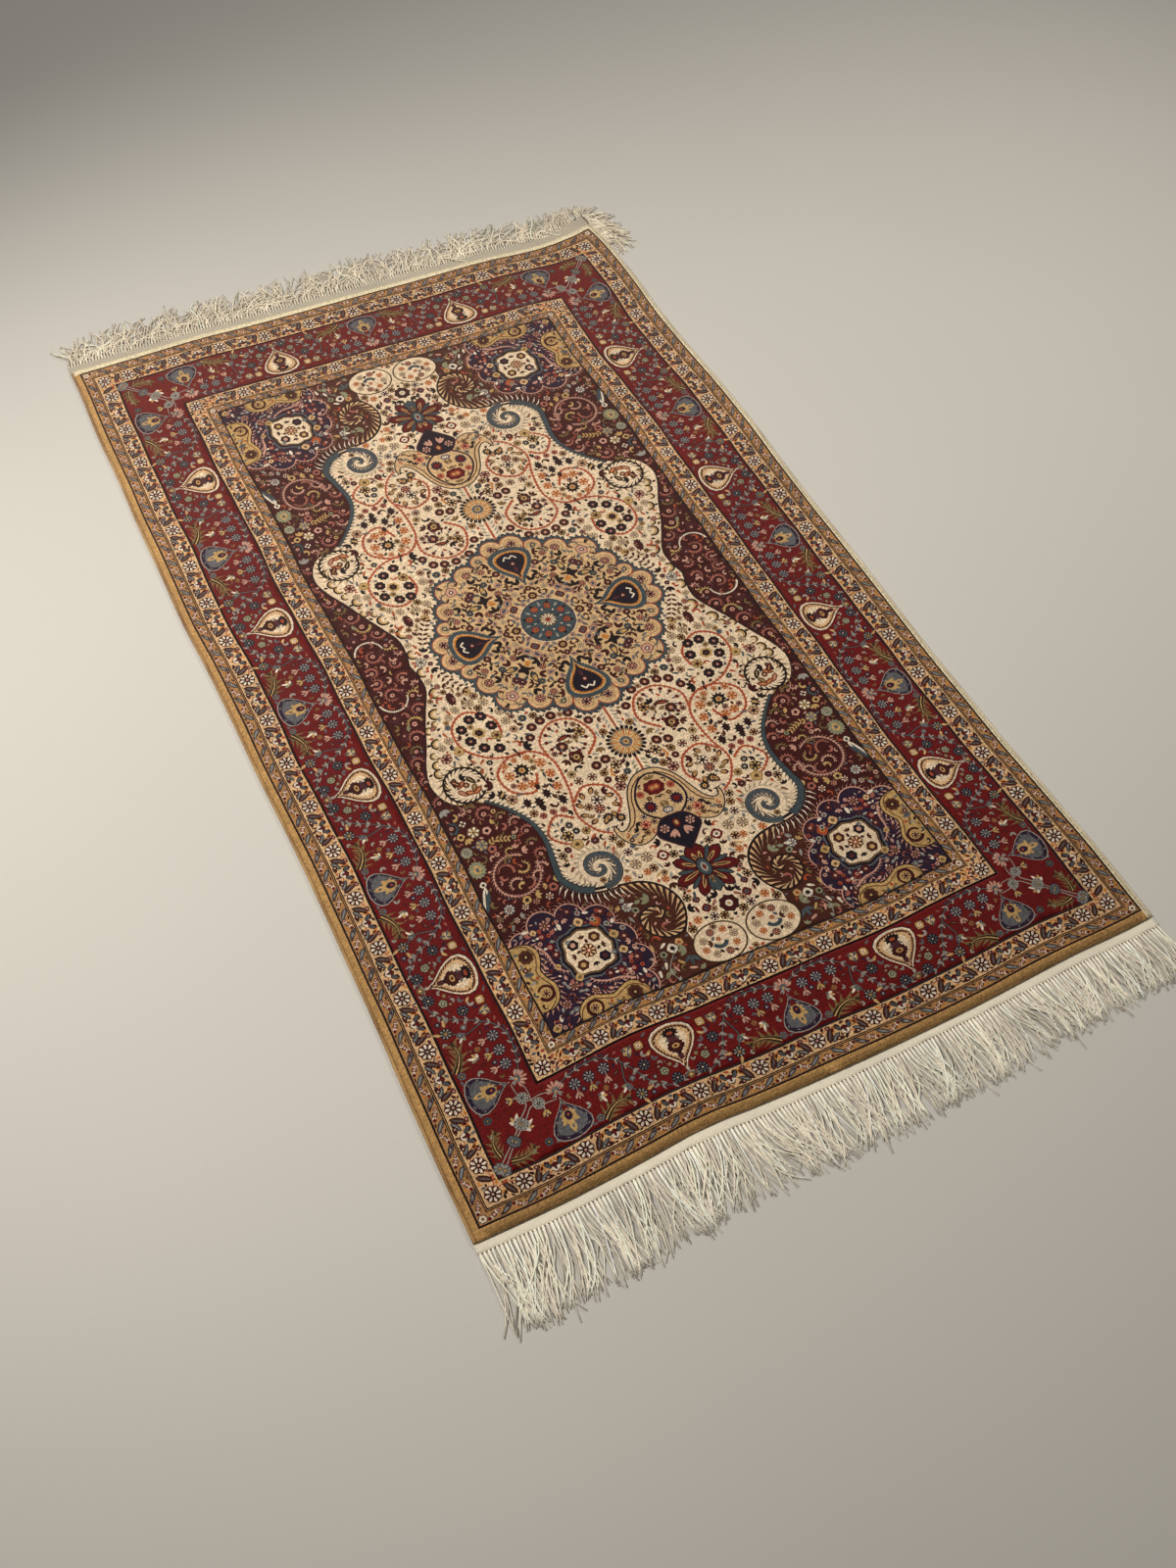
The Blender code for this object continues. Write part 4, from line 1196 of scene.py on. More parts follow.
def draw_ivory(art):
    """The ivory ground with its ring vines, flowers, leaves and the teal line that ends in a spiral."""
    edge = curve(IVORY_EDGE, 5)
    shape = [(-4, 586), (30, 586), (62, 570)] + edge + [(-4, -8)]
    art.put(ribbon("dark", edge, 2.6))
    art.patch("ivory", shape)
    # hoods along the edge, darkest outside
    for x, y, r, turn in (
        (197, 17, 9, 175), (194, 57, 10, 165), (209, 90, 10, 160), (229, 112, 7, 160), (228, 136, 9, 165),
        (242, 168, 8, 165), (246, 181, 8, 175), (245, 204, 7, 185), (216, 105, 6, 160), (240, 152, 6, 165),
    ):
        art.put(hood(r), x, y, turn)
    rim = [p for p in edge if p[1] < 236]
    art.put(barbs("dark", rim, 7, 4, 9.5, 1, 0.4))
    # ring vines
    for points in RING_VINES:
        path = curve(points, 4)
        art.put(ribbon("rust", path, 3.3, 2.6))
        art.put(barbs("rust", path, 2.6, 2.4, 6.5, 1, 0.8, 1.2) + barbs("rust", path, 2.2, 2.2, 6.5, -1, 0.8, 1.2))
    for x, y, r, kind in IVORY_FLOWERS:
        art.put(FLOWERS[kind](r), x, y)
    # the buds inside the third ring and the flowers inside the fourth
    for i in range(11):
        a = math.radians(-118 + 28 * i)
        x, y = 70 + 27 * math.cos(a), 195 + 26 * math.sin(a)
        if y > 222:
            continue
        art.put([("slate", petal(-9, 8, 3)), ("wine", oval(3, 3, 8)), ("sage", petal(2, 4, 2))], x, y, math.degrees(a))
    art.put(leaf(24, 6.5, "maroon", "rust", -5), 84, 196, 200)
    art.put(hook(11, 150, "maroon", None, 3), 74, 199, 190)
    for i in range(9):
        a = math.radians(-95 + 37 * i)
        x, y = 80 + 23 * math.cos(a), 309 + 25 * math.sin(a)
        bud = [("maroon", petal(-7, 13, 8)), ("yellow", petal(-4, 9, 4.6)), ("rust", petal(-1, 4, 2))]
        art.put(bud, x, y, math.degrees(a) + 150)
    for x, y, turn in (
        (148, 311, 120), (131, 309, 60), (150, 325, 190), (146, 339, 230), (140, 312, 90), (152, 333, 200)
    ):
        art.put(leaf(8, 3.4, "slate", "teal"), x, y, turn)
    # dark leaves and sprays
    art.put(leafy(curve([(178, 24), (172, 40), (164, 55), (152, 72)], 4), "chocolate", None, 9, 4.2, 8.5, 52))
    art.put([("maroon", saw(oval(5.4, 10.5, 14), 1.8, 4.4))], 179, 75)
    for x, y, r in (
        (187, 246, 8), (162, 271, 7.4), (147, 276, 8.4), (132, 266, 7.4), (117, 282, 7.6), (146, 285, 6), (138, 252, 5)
    ):
        art.put([("dark", saw(oval(r * 0.55, r * 0.8, 12), r * 0.34, r * 0.5))], x, y)
        art.put([("maroon", oval(r * 0.24, r * 0.4, 6))], x, y)
    for x, y, turn, dye in (
        (132, 157, 20, "slate"), (120, 158, 200, "teal"), (117, 166, 150, "teal"), (141, 182, 100, "dark"),
        (137, 190, 80, "chocolate"), (182, 243, 30, "yellow"), (121, 232, 80, "teal"), (122, 252, 100, "teal"),
        (215, 163, 100, "slate"), (218, 170, 60, "slate"), (160, 254, 0, "slate"), (51, 232, 150, "mist"),
        (20, 190, 60, "mist"), (28, 200, 80, "mist"), (148, 381, 40, "brick"), (94, 361, 50, "rust"),
        (88, 372, 60, "rust"), (100, 346, 20, "rust"), (82, 392, 30, "mist"), (72, 396, 160, "mist"),
        (84, 416, 80, "mist"), (50, 418, 100, "mist"), (62, 436, 200, "yellow"), (40, 437, 40, "mist"),
        (34, 455, 80, "slate"), (30, 474, 60, "teal"), (40, 494, 90, "wine"), (24, 480, 120, "slate"),
        (58, 494, 100, "rust"), (112, 352, 30, "wine"), (36, 262, 60, "orange"), (42, 270, 120, "orange"),
        (190, 196, 60, "rust"), (182, 184, 30, "rust"), (200, 178, 120, "rust"), (193, 90, 100, "rust"),
        (205, 95, 60, "mist"), (214, 122, 100, "rust"), (199, 55, 60, "rust"), (165, 82, 60, "olive"),
        (135, 84, 30, "olive"), (172, 57, 90, "olive"), (186, 24, 60, "rust"), (204, 150, 60, "yellow"),
    ):
        art.put(leaf(11, 3.8, dye, None, 1.2), x, y, turn)
    # the wreath of dark leaves in the widest part
    wreath = arc(224, 211, 28, 170, 500, 3)
    art.put(barbs("olive", wreath, 10, 5.0, 8.4, -1, 0.9, 0.5) + barbs("dark", wreath, 9, 5.0, 8.4, 1, 0.9))
    art.put(ribbon("dark", wreath, 3.0))
    for x, y, turn, dye in (
        (232, 196, 60, "maroon"), (216, 200, 110, "dark"), (211, 214, 60, "olive"), (228, 222, 150, "rust"),
        (222, 206, 20, "rust"), (236, 216, 120, "pink"), (218, 228, 200, "rust"), (230, 210, 300, "wine")
    ):
        art.put(leaf(15, 6.0, dye, "yellow", 2, "dark"), x, y, turn)
    art.put(bloom(5, 6, "plum", "yellow", None), 222, 212)
    # the teal line with its feathered spiral
    turns = arc(120, 394, 30, 78, 600, 3.2, 3)
    halo = arc(120, 394, 28, 175, 400, 3, 24)
    art.put(barbs("olive", halo, 13, 5.0, 6.4, -1, 0.9) + barbs("white", halo, 9, 2.6, 6.4, -1, 0.9))
    path = curve(TEAL_LINE, 4)[:-1] + turns
    art.put(ribbon("dark", path, 4.5, 4.0))
    first = curve(TEAL_LINE, 4)
    art.put(barbs("dark", first, 8.4, 4.6, 6.6, 1, 0.6, 1.0, 0.6) + barbs("dark", turns, 14, 6.4, 7.6, 1, 0.7, 0, -0.9))
    art.put(ribbon("dark", first, 4.0, 11.2) + ribbon("dark", turns, 9.6, 3.0))
    art.put(ribbon("teal", first, 2.2, 8.8))
    art.put(barbs("teal", first, 6.4, 2.8, 6.6, 1, 0.6, 1.6, 0.6))
    art.put(barbs("slate", turns, 12, 4.2, 7.6, 1, 0.7, 0, -0.9))
    art.put(ribbon("slate", turns, 7.0, 1.6) + ribbon("teal", turns, 4.0, 0.8))


def draw_dark_spiral(art):
    """The dark spiral with pale barbs that holds the ivory ground's end."""
    path = curve(DARK_LINE, 3.5)
    art.put(barbs("dark", path, 16, 8.8, 9.8, -1, 0.8, 0.0, -0.9))
    art.put(barbs("cream", path, 13, 5.4, 9.8, -1, 0.8, 0.8, -0.9))
    art.put(ribbon("dark", path, 3.4, 2.0))


def draw_end_circle(art):
    """The pale lobe at the end of the ivory ground, with small flowers round a dark crescent."""
    x, y = 37, 551
    art.patch("dark", oval(35.5, 28.5, 30, x, y))
    art.patch("olive", oval(34.2, 27.2, 30, x, y))
    art.patch("ivory", oval(33.2, 26.2, 30, x, y))
    for i in range(8):
        a = 2 * math.pi * (i + 0.3) / 8
        kind = ("amber", "pale", "pinkish", "amber", "pale", "amber", "pinkish", "pale")[i]
        art.put(FLOWERS[kind](5.6), x + 22 * math.cos(a), y + 16.5 * math.sin(a))
    art.put(ribbon("teal", arc(x, y - 2, 9, 20, 160, 3), 5.4))
    art.put(bloom(3.4, 5, "rust", "yellow", None), x, y - 4)


def draw_axis(art):
    """What lies on the long middle line of the field."""
    art.put(ribbon("rust", [(0, 150), (0, 205)], 3.2))
    art.put(ribbon("rust", [(0, 258), (0, 292)], 3.2))
    art.put(leafy([(4, 166), (5, 184), (5, 205)], "mist", None, 9, 3.4, 7, -50, False))
    art.put(leafy([(4, 262), (5, 290)], "sage", None, 9, 3.6, 6.5, -50, False))
    for turn in range(-90, 91, 15):
        odd = (turn // 15) % 2
        ray = [
            ("dark" if odd else "navy", petal(13, 15, 5.2, 0.75)),
            ("orange" if odd else "yellow", petal(7, 15, 3.4, 0.65))
        ]
        art.put(ray, 0, 233, turn)
    art.put([("slate", oval(9, 9, 12)), ("yellow", oval(4.5, 4.5, 8)), ("maroon", oval(2, 2, 6))], 0, 233)
    # two curved leaves that meet over the dark diamond
    outer = curve([(0, 284), (14, 287), (28, 298), (38, 314), (46, 335), (53, 350), (63, 359), (71, 358), (75, 346)], 4)
    under = curve([(75, 346), (76, 360), (68, 376), (54, 386), (38, 383), (24, 372), (12, 360)], 4)
    body = outer + under + [(-4, 360), (-4, 284)]
    art.put(barbs("teal", outer, 9, 3.4, 6, 1, 0.9) + barbs("dark", under, 7, 3.4, 6, 1, -0.6))
    art.put(ribbon("navy", outer, 4.0) + ribbon("navy", under, 3.6))
    art.patch("sand", body)
    art.put(ribbon("chocolate", curve([(10, 291), (26, 303), (36, 320), (41, 338), (50, 354), (62, 362)], 4), 1.8))
    heart = curve([(0, 291), (12, 295), (24, 308), (32, 324), (33, 340), (26, 352), (14, 362), (0, 372)], 4)
    art.put([("sand", heart + [(-4, 372), (-4, 291)])] + ribbon("navy", heart, 3.0))
    art.put(bloom(12.5, 7, "wine", "rust", "yellow"), 3, 314)
    art.put([("indigo", saw(oval(7.5, 7.5, 12), 1.4, 4)), ("brick", oval(4.8, 4.8, 8))], 19, 340)
    art.put(rosette(6, 6, "pink", "rust", "wine", None), 22, 318)
    art.put(bloom(6, 5, "slate", "white", "brick"), 2, 352)
    art.put(rosette(7.6, 6, "rose", "rust", "wine", None), 37, 362)
    art.put(leaf(12, 5, "slate", "mist"), 62, 372, 190)
    art.put(leaf(9, 3.6, "maroon", None, 1), 46, 366, 160)
    diamond = curve([(0, 360), (16, 362), (28, 376), (30, 386), (18, 400), (8, 410), (0, 417)], 4)
    art.put([("navy", diamond + [(-4, 417), (-4, 360)])] + ribbon("plum", diamond, 1.6))
    art.put(rosette(6.6, 6, "rose", None, "wine", "white"), 18, 377)
    for turn in (60, 90, 40):
        art.put([("rose", petal(0, 14, 4.2, 0.6))], 6, 382, turn)
    art.put([("brick", oval(5, 6.5, 10)), ("yellow", oval(2.6, 3.6, 8))], 0, 374)
    # the red palmette
    for turn, long in ((-78, 30), (-34, 34), (14, 40), (60, 38), (90, 34)):
        art.put([("dark", petal(2, long + 5, 19, 0.62)), ("wine", petal(4, long + 1, 16, 0.62))], 0, 448, turn)
        art.put([("yellow", petal(8, long - 13, 5.0, 0.6)), ("maroon", petal(10, long - 18, 2.4, 0.6))], 0, 448, turn)
    for turn in (78, 36, -10, -56):
        art.put([("dark", petal(12, 25, 7, 0.7)), ("teal", petal(13, 22, 4.6, 0.7))], 0, 450, turn)
    for dye, rx, ry, count in (("dark", 10, 15, 14), ("teal", 8.4, 13, 14), ("mist", 4.4, 8, 10), ("brick", 2.2, 4, 8)):
        art.put([(dye, oval(rx, ry, count))], 0, 448)
    art.put([("teal", petal(-8, 16, 10))], 0, 480, 90)
    art.put(bloom(11.6, 8, "maroon", "white", "yellow", "dark"), 0, 508)
    art.put(leaf(11, 4, "brick", "rose"), 12, 496, 40)


def draw_medallion(art):
    """The scalloped medallion: an eighth is set out and turned or mirrored into the rest of the quarter."""
    lobes = []
    for x, y, r in ((150, 15.5, 17), (137, 42, 12.5), (121, 70, 17), (102, 102, 22)):
        lobes.append((x, y, r))
        if x != y:
            lobes.append((y, x, r))
    art.patch("teal", oval(143, 143, 60))
    for x, y, r in lobes:
        art.patch("dark", saw(oval(r + 3.6, r + 3.6, 18, x, y), 4.4, 7.5))
    for x, y, r in lobes:
        art.patch("teal", saw(oval(r + 2.6, r + 2.6, 18, x, y), 3.8, 7.5))
    for x, y, r in lobes:
        art.patch("rust", oval(r + 0.2, r + 0.2, 22, x, y))
    for x, y, r in lobes:
        art.patch("sand", oval(r - 1.1, r - 1.1, 22, x, y))
    for x, y, r in lobes:
        around = math.degrees(math.atan2(y, x))
        art.put(ribbon("ochre", arc(x, y, r * 0.6, around - 140, around + 120, 4), 1.3))
    art.patch("sand", oval(139, 139, 60))

    def both(motif, x=0, y=0, turn=0.0):
        """A motif, and again across the quarter's diagonal."""
        for dye, outline in motif:
            outline = turned(outline, turn, x, y)
            art.patch(dye, outline)
            art.patch(dye, [(py, px) for px, py in outline])

    # cusps between the lobes run inward as curls
    for x, y, turn in ((145, 29, 175), (131, 56, 160), (114, 86, 150)):
        both(hook(5, 170, "teal", None, 2.8), x - 6, y, turn)
    both(rosette(7.4, 8, "rose", "maroon", "rust", "white"), 121, 69)
    both(bloom(8, 5, "rose", "dark", "white", "maroon"), 101, 102)
    both(hook(9, 160, "teal", None, 3.2), 112, 95, -60)
    both(rosette(7.2, 6, "rose", "maroon", "dark", None), 151, 16)
    both(hook(10, 130, "dark", None, 4), 151, 15, 150)
    both(leaf(11, 5, "slate", "mist"), 132, 38, 30)
    both(bloom(5, 5, "teal", "yellow", None), 138, 43)
    # flowers of the medallion: x, y, radius, kind
    for x, y, r, kind in (
        (49, 0, 7.5, "umber_big"), (64, 0, 5, "umber"), (35, 37, 6.4, "red_small"), (85, 79, 7.4, "plum"),
        (72, 42, 6, "pinkish"), (106, 30, 6, "umber"), (118, 48, 6, "pinkish"), (95, 54, 6, "teal"),
        (60, 22, 5, "pale"),
    ):
        both(FLOWERS[kind](r), x, y)
    bud = [("dark", petal(-10, 22, 10, 0.4)), ("yellow", petal(-5, 14, 6, 0.4)), ("teal", oval(2.4, 2.6, 8, -4, 0))]
    both(bud, 83, 60)
    both([("orange", petal(-5, 12, 4.6, 0.5))], 57, 59, 50)
    for x, y, turn, dye in (
        (44, 12, 70, "slate"), (40, 24, 40, "slate"), (56, 9, -30, "chocolate"), (66, 12, 40, "dark"),
        (56, 36, 15, "plum"), (72, 27, 60, "teal"), (88, 29, 20, "dark"), (92, 42, -20, "slate"), (78, 68, 45, "teal"),
        (70, 52, 100, "chocolate"), (106, 42, 60, "dark"), (108, 58, 20, "teal"), (96, 68, 70, "chocolate"),
        (88, 88, 45, "slate"), (50, 46, 80, "slate"),
    ):
        both(leaf(10, 4.8, dye, None, 1.2), x, y, turn)
    # the four dark hearts, their tips inward
    for layer, dye, teeth in ((1.0, "teal", True), (0.8, "sand", False), (0.75, "orange", True), (0.64, "navy", True)):
        shape = scaled_about(curve(heart_shape(76, 31), 5, True), layer, 48)
        if teeth:
            shape = saw(shape, 1.5 if dye != "orange" else 1.0, 4.2)
        both([(dye, [(70 + px, py) for px, py in shape])])
    both(ribbon("white", curve([(124, -10), (130, -5), (126, 0), (130, 5), (124, 10)], 3), 2.4))
    both(bloom(5.2, 6, "maroon", "rose", None), 115, 0)
    both([("plum", petal(-6, 12, 5))], 104, 0)
    # the middle
    art.patch("white", oval(40, 40, 40))
    art.patch("maroon", oval(39.2, 39.2, 40))
    art.patch("teal", saw(oval(37.6, 37.6, 40), 1.3, 4.0))
    for i in range(5):
        a = 22.5 * i
        x, y = math.cos(math.radians(a)), math.sin(math.radians(a))
        if i % 2:
            art.put(bloom(5.4, 5, "rust", "dark", "yellow", "dark"), 26 * x, 26 * y)
            art.put([("dark", petal(0, 6, 5))], 30 * x, 30 * y, a)
        else:
            art.put([("mist", petal(0, 9, 3.4))], 26 * x, 26 * y, a)
            art.put([("white", petal(0, 5, 2))], 17 * x, 17 * y, a)
    art.put(rosette(12.5, 12, "white", "olive", "rust", "maroon"))


art = Drawing()
ground(art, "maroon", FIELD)
art.patch("chocolate", [(-4, 424), (128, 424), (150, 438), (134, 470), (118, 500), (116, 545), (132, 582), (-4, 582)])
draw_maroon_ground(art)
draw_cartouche(art)
draw_brown_end(art)
draw_ivory(art)
draw_dark_spiral(art)
draw_end_circle(art)
draw_axis(art)
draw_medallion(art)
draw_borders(art)
drawn = art.raster(HALF_WIDTH, HALF_LENGTH)
art.fill(3, drawn, ("sand",), (0, 160, 0, 160), (8.0, 6.4, 5.0, 3.8), 3000, medallion_filling, (0, 0))
art.fill(8, drawn, ("sand",), (0, 80, 284, 388), (5.0, 4.2), 300, ivory_filling)
art.fill(9, drawn, ("yellow",), (190, 275, 440, 576), (5.6, 4.4, 3.4), 260, ivory_filling, STAR)
for low, high in ((GUARD_B, LINE_B), (GUARD_C, LINE_D)):
    side = (int(HALF_WIDTH - high), int(HALF_WIDTH - low), 0, int(HALF_LENGTH - low))
    end = (0, int(HALF_WIDTH - high), int(HALF_LENGTH - high), int(HALF_LENGTH - low))
    art.fill(10, drawn, ("cream",), side, (3.4, 2.5), 2600, guard_filling)
    art.fill(11, drawn, ("cream",), end, (3.4, 2.5), 1700, guard_filling)
art.fill(4, drawn, ("indigo",), (134, 275, 430, 576), (4.6, 3.4, 2.6), 260, indigo_filling, STAR)
art.fill(5, drawn, ("ivory",), (0, 262, 0, 576), (8.6, 6.6, 5.0, 3.6), 2900, ivory_filling)
art.fill(6, drawn, ("maroon", "chocolate"), (50, 275, 0, 576), (7.6, 6.0, 4.4, 3.0), 1500, maroon_filling)


# The knotted cloth
def linear(rgb):
    """A colour of 0 to 255 as light, for a shader."""
    c = np.asarray(rgb, float) / 255
    return np.where(c <= 0.04045, c / 12.92, ((c + 0.055) / 1.055) ** 2.4)


DYE_LIGHT = np.array([[*linear(rgb), 1.0] for rgb in DYES.values()])
BACK_LIGHT = np.array([*linear((196, 170, 140)), 1.0])
PILE_FOOT = 3.05
FOUNDATION_TOP = 3.0
PILE_STEP = 12
BACK_STEP = 37.9


def four_quarters(places, corners, dyes):
    """A quarter and its mirror images, joined along the middle lines."""
    all_places, all_corners = [], []
    for kx, ky in ((1, 1), (-1, 1), (-1, -1), (1, -1)):
        all_corners.append((corners if kx * ky > 0 else corners[:, ::-1]) + len(all_places) * len(places))
        all_places.append(places * (kx, ky))
    places = np.concatenate(all_places)
    corners = np.concatenate(all_corners)
    grid = np.round(places * 1000).astype(np.int64)
    _, first, back = np.unique(grid, axis=0, return_index=True, return_inverse=True)
    corners = back.reshape(-1)[corners]
    dyes = np.tile(dyes, 4)
    whole = (corners[:, 0] != corners[:, 1]) & (corners[:, 1] != corners[:, 2]) & (corners[:, 2] != corners[:, 0])
    return places[first], corners[whole], dyes[whole]


def rim_of(corners):
    """The edges with a face on one side alone, in that face's direction, and that face's number."""
    edges = np.concatenate([corners[:, [0, 1]], corners[:, [1, 2]], corners[:, [2, 0]]])
    faces = np.tile(np.arange(len(corners)), 3)
    size = int(edges.max()) + 1
    code = edges[:, 0].astype(np.int64) * size + edges[:, 1]
    other = edges[:, 1].astype(np.int64) * size + edges[:, 0]
    alone = ~np.isin(code, other)
    return edges[alone], faces[alone]


def loops_of(edges):
    """The closed loops that the edges make, as corner numbers."""
    follow = {int(a): int(b) for a, b in edges}
    loops = []
    while follow:
        start = next(iter(follow))
        loop, at = [start], follow.pop(start)
        while at != start:
            loop.append(at)
            at = follow.pop(at)
        loops.append(loop)
    return loops


def mesh_object(name, points, triangles, material, colours=None):
    """An object of triangles, points in mm, with a colour for each triangle."""
    mesh = bpy.data.meshes.new(name)
    mesh.vertices.add(len(points))
    mesh.vertices.foreach_set("co", (np.asarray(points, float) * MM).ravel())
    mesh.loops.add(len(triangles) * 3)
    mesh.loops.foreach_set("vertex_index", np.asarray(triangles, np.int32).ravel())
    mesh.polygons.add(len(triangles))
    mesh.polygons.foreach_set("loop_start", np.arange(0, len(triangles) * 3, 3, dtype=np.int32))
    mesh.polygons.foreach_set("loop_total", np.full(len(triangles), 3, dtype=np.int32))
    mesh.update(calc_edges=True)
    if colours is not None:
        layer = mesh.attributes.new("dye", "FLOAT_COLOR", "CORNER")
        layer.data.foreach_set("color", np.repeat(np.asarray(colours, np.float32), 3, axis=0).ravel())
    mesh.materials.append(material)
    piece = bpy.data.objects.new(name, mesh)
    bpy.context.scene.collection.objects.link(piece)
    return piece


def pile_height(x, y):
    """The height of the pile's top: it isn't quite even."""
    wave = 0.5 * np.sin(x / 53 + 1.7 * np.sin(y / 131)) + 0.5 * np.sin(y / 67 + 1.3 * np.sin(x / 97) + 1.1)
    return PILE_TOP - 0.2 + 0.2 * wave


def pile_piece(name, places, corners, dyes, material):
    """A closed piece of the pile: its patterned top, its cut sides and its foot."""
    used, back = np.unique(corners, return_inverse=True)
    corners = back.reshape(-1, 3)
    flat = places[used]
    x, y = woven(flat[:, 0], flat[:, 1])
    count = len(flat)
    top = np.column_stack([x, y, pile_height(x, y)])
    edges, beside = rim_of(corners)
    loops = loops_of(edges)
    rim = [i for loop in loops for i in loop]
    low_of = np.full(count, -1)
    low_of[rim] = count + np.arange(len(rim))
    low = np.column_stack([x[rim], y[rim], np.full(len(rim), PILE_FOOT)])
    a, b = edges[:, 0], edges[:, 1]
    sides = np.concatenate([np.column_stack([a, low_of[a], b]), np.column_stack([b, low_of[a], low_of[b]])])
    side_colours = np.concatenate([DYE_LIGHT[dyes[beside]]] * 2) * (0.8, 0.8, 0.8, 1)
    start, faces = 0, []
    for loop in loops:
        faces.append(list(range(start, start + len(loop))))
        start += len(loop)
    result = delaunay_2d_cdt([Vector(flat[i]) for i in rim], [], faces, 0, 1e-4, True)
    came_from = [group[0] for group in result[3]]
    outer = max(range(len(loops)), key=lambda k: np.ptp(flat[loops[k], 0]))
    foot = [
        [count + came_from[i] for i in tri]
        for tri, inside in zip(result[2], result[5])
        if outer in inside and len(inside) == 1
    ]
    foot = np.array(foot)
    tri = flat[np.array(rim)[foot - count]]
    span, rise = tri[:, 1] - tri[:, 0], tri[:, 2] - tri[:, 0]
    up = span[:, 0] * rise[:, 1] - span[:, 1] * rise[:, 0] > 0
    foot[up] = foot[up][:, ::-1]
    colours = np.concatenate([DYE_LIGHT[dyes], side_colours, np.tile(BACK_LIGHT, (len(foot), 1))])
    piece = mesh_object(name, np.concatenate([top, low]), np.concatenate([corners, sides, foot]), material, colours)
    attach(piece, "root")
    return piece


# Materials
def new_material(name, **sockets):
    """A material with its shader's sockets set. Their names have _ for a blank."""
    material = bpy.data.materials.new(name)
    material.use_nodes = True
    for socket, value in sockets.items():
        material.node_tree.nodes["Principled BSDF"].inputs[socket.replace("_", " ")].default_value = value
    return material


def shade_by(material, socket, output):
    """Links a node's output to a socket of the material's shader."""
    material.node_tree.links.new(output, material.node_tree.nodes["Principled BSDF"].inputs[socket])


def add(material, kind, inputs=(), **settings):
    """A node with its settings, and its inputs set to numbers or linked to outputs."""
    node = material.node_tree.nodes.new("ShaderNode" + kind)
    for key, value in settings.items():
        setattr(node, key, value)
    for key, value in dict(inputs).items():
        if isinstance(value, bpy.types.NodeSocket):
            material.node_tree.links.new(value, node.inputs[key])
        else:
            node.inputs[key].default_value = value
    return node


def place_on_cloth(material, scale):
    """The place on the rug, stretched: scale is counts to the metre along x, y and z."""
    where = add(material, "TexCoord").outputs["Object"]
    return add(material, "Mapping", {"Vector": where, "Scale": scale}).outputs["Vector"]


def noise(material, scale, detail, roughness=0.5, dimensions="2D"):
    """Noise over the rug, 0 to 1."""
    inputs = {"Vector": place_on_cloth(material, scale), "Scale": 1.0, "Detail": detail, "Roughness": roughness}
    return add(material, "TexNoise", inputs, noise_dimensions=dimensions).outputs["Fac"]


def wave(material, turns, distortion, detail, direction):
    """Waves of 0 to 1 along one direction."""
    where = place_on_cloth(material, (1, 1, 1))
    inputs = {"Vector": where, "Scale": turns, "Distortion": distortion, "Detail": detail}
    return add(material, "TexWave", inputs, bands_direction=direction).outputs["Fac"]


def bump(material, height, strength, distance, normal=None, **settings):
    """The normal bent by a height."""
    inputs = {"Height": height, "Strength": strength, "Distance": distance}
    if normal is not None:
        inputs["Normal"] = normal
    return add(material, "Bump", inputs, **settings).outputs["Normal"]


def math_node(material, operation, a, b, c=None):
    """The result of a Math node."""
    inputs = {0: a, 1: b}
    if c is not None:
        inputs[2] = c
    return add(material, "Math", inputs, operation=operation).outputs[0]


def around_one(material, value, reach):
    """A noise of 0 to 1 as a factor from 1 - reach to 1 + reach."""
    return math_node(material, "MULTIPLY_ADD", value, 2 * reach, 1 - reach)


def tinted(material, colour, factor):
    """The colour times a factor."""
    grey = add(material, "CombineColor", {"Red": factor, "Green": factor, "Blue": factor}).outputs["Color"]
    inputs = {6: colour, 7: grey, 0: 1.0}
    return add(material, "Mix", inputs, data_type="RGBA", blend_type="MULTIPLY").outputs[2]


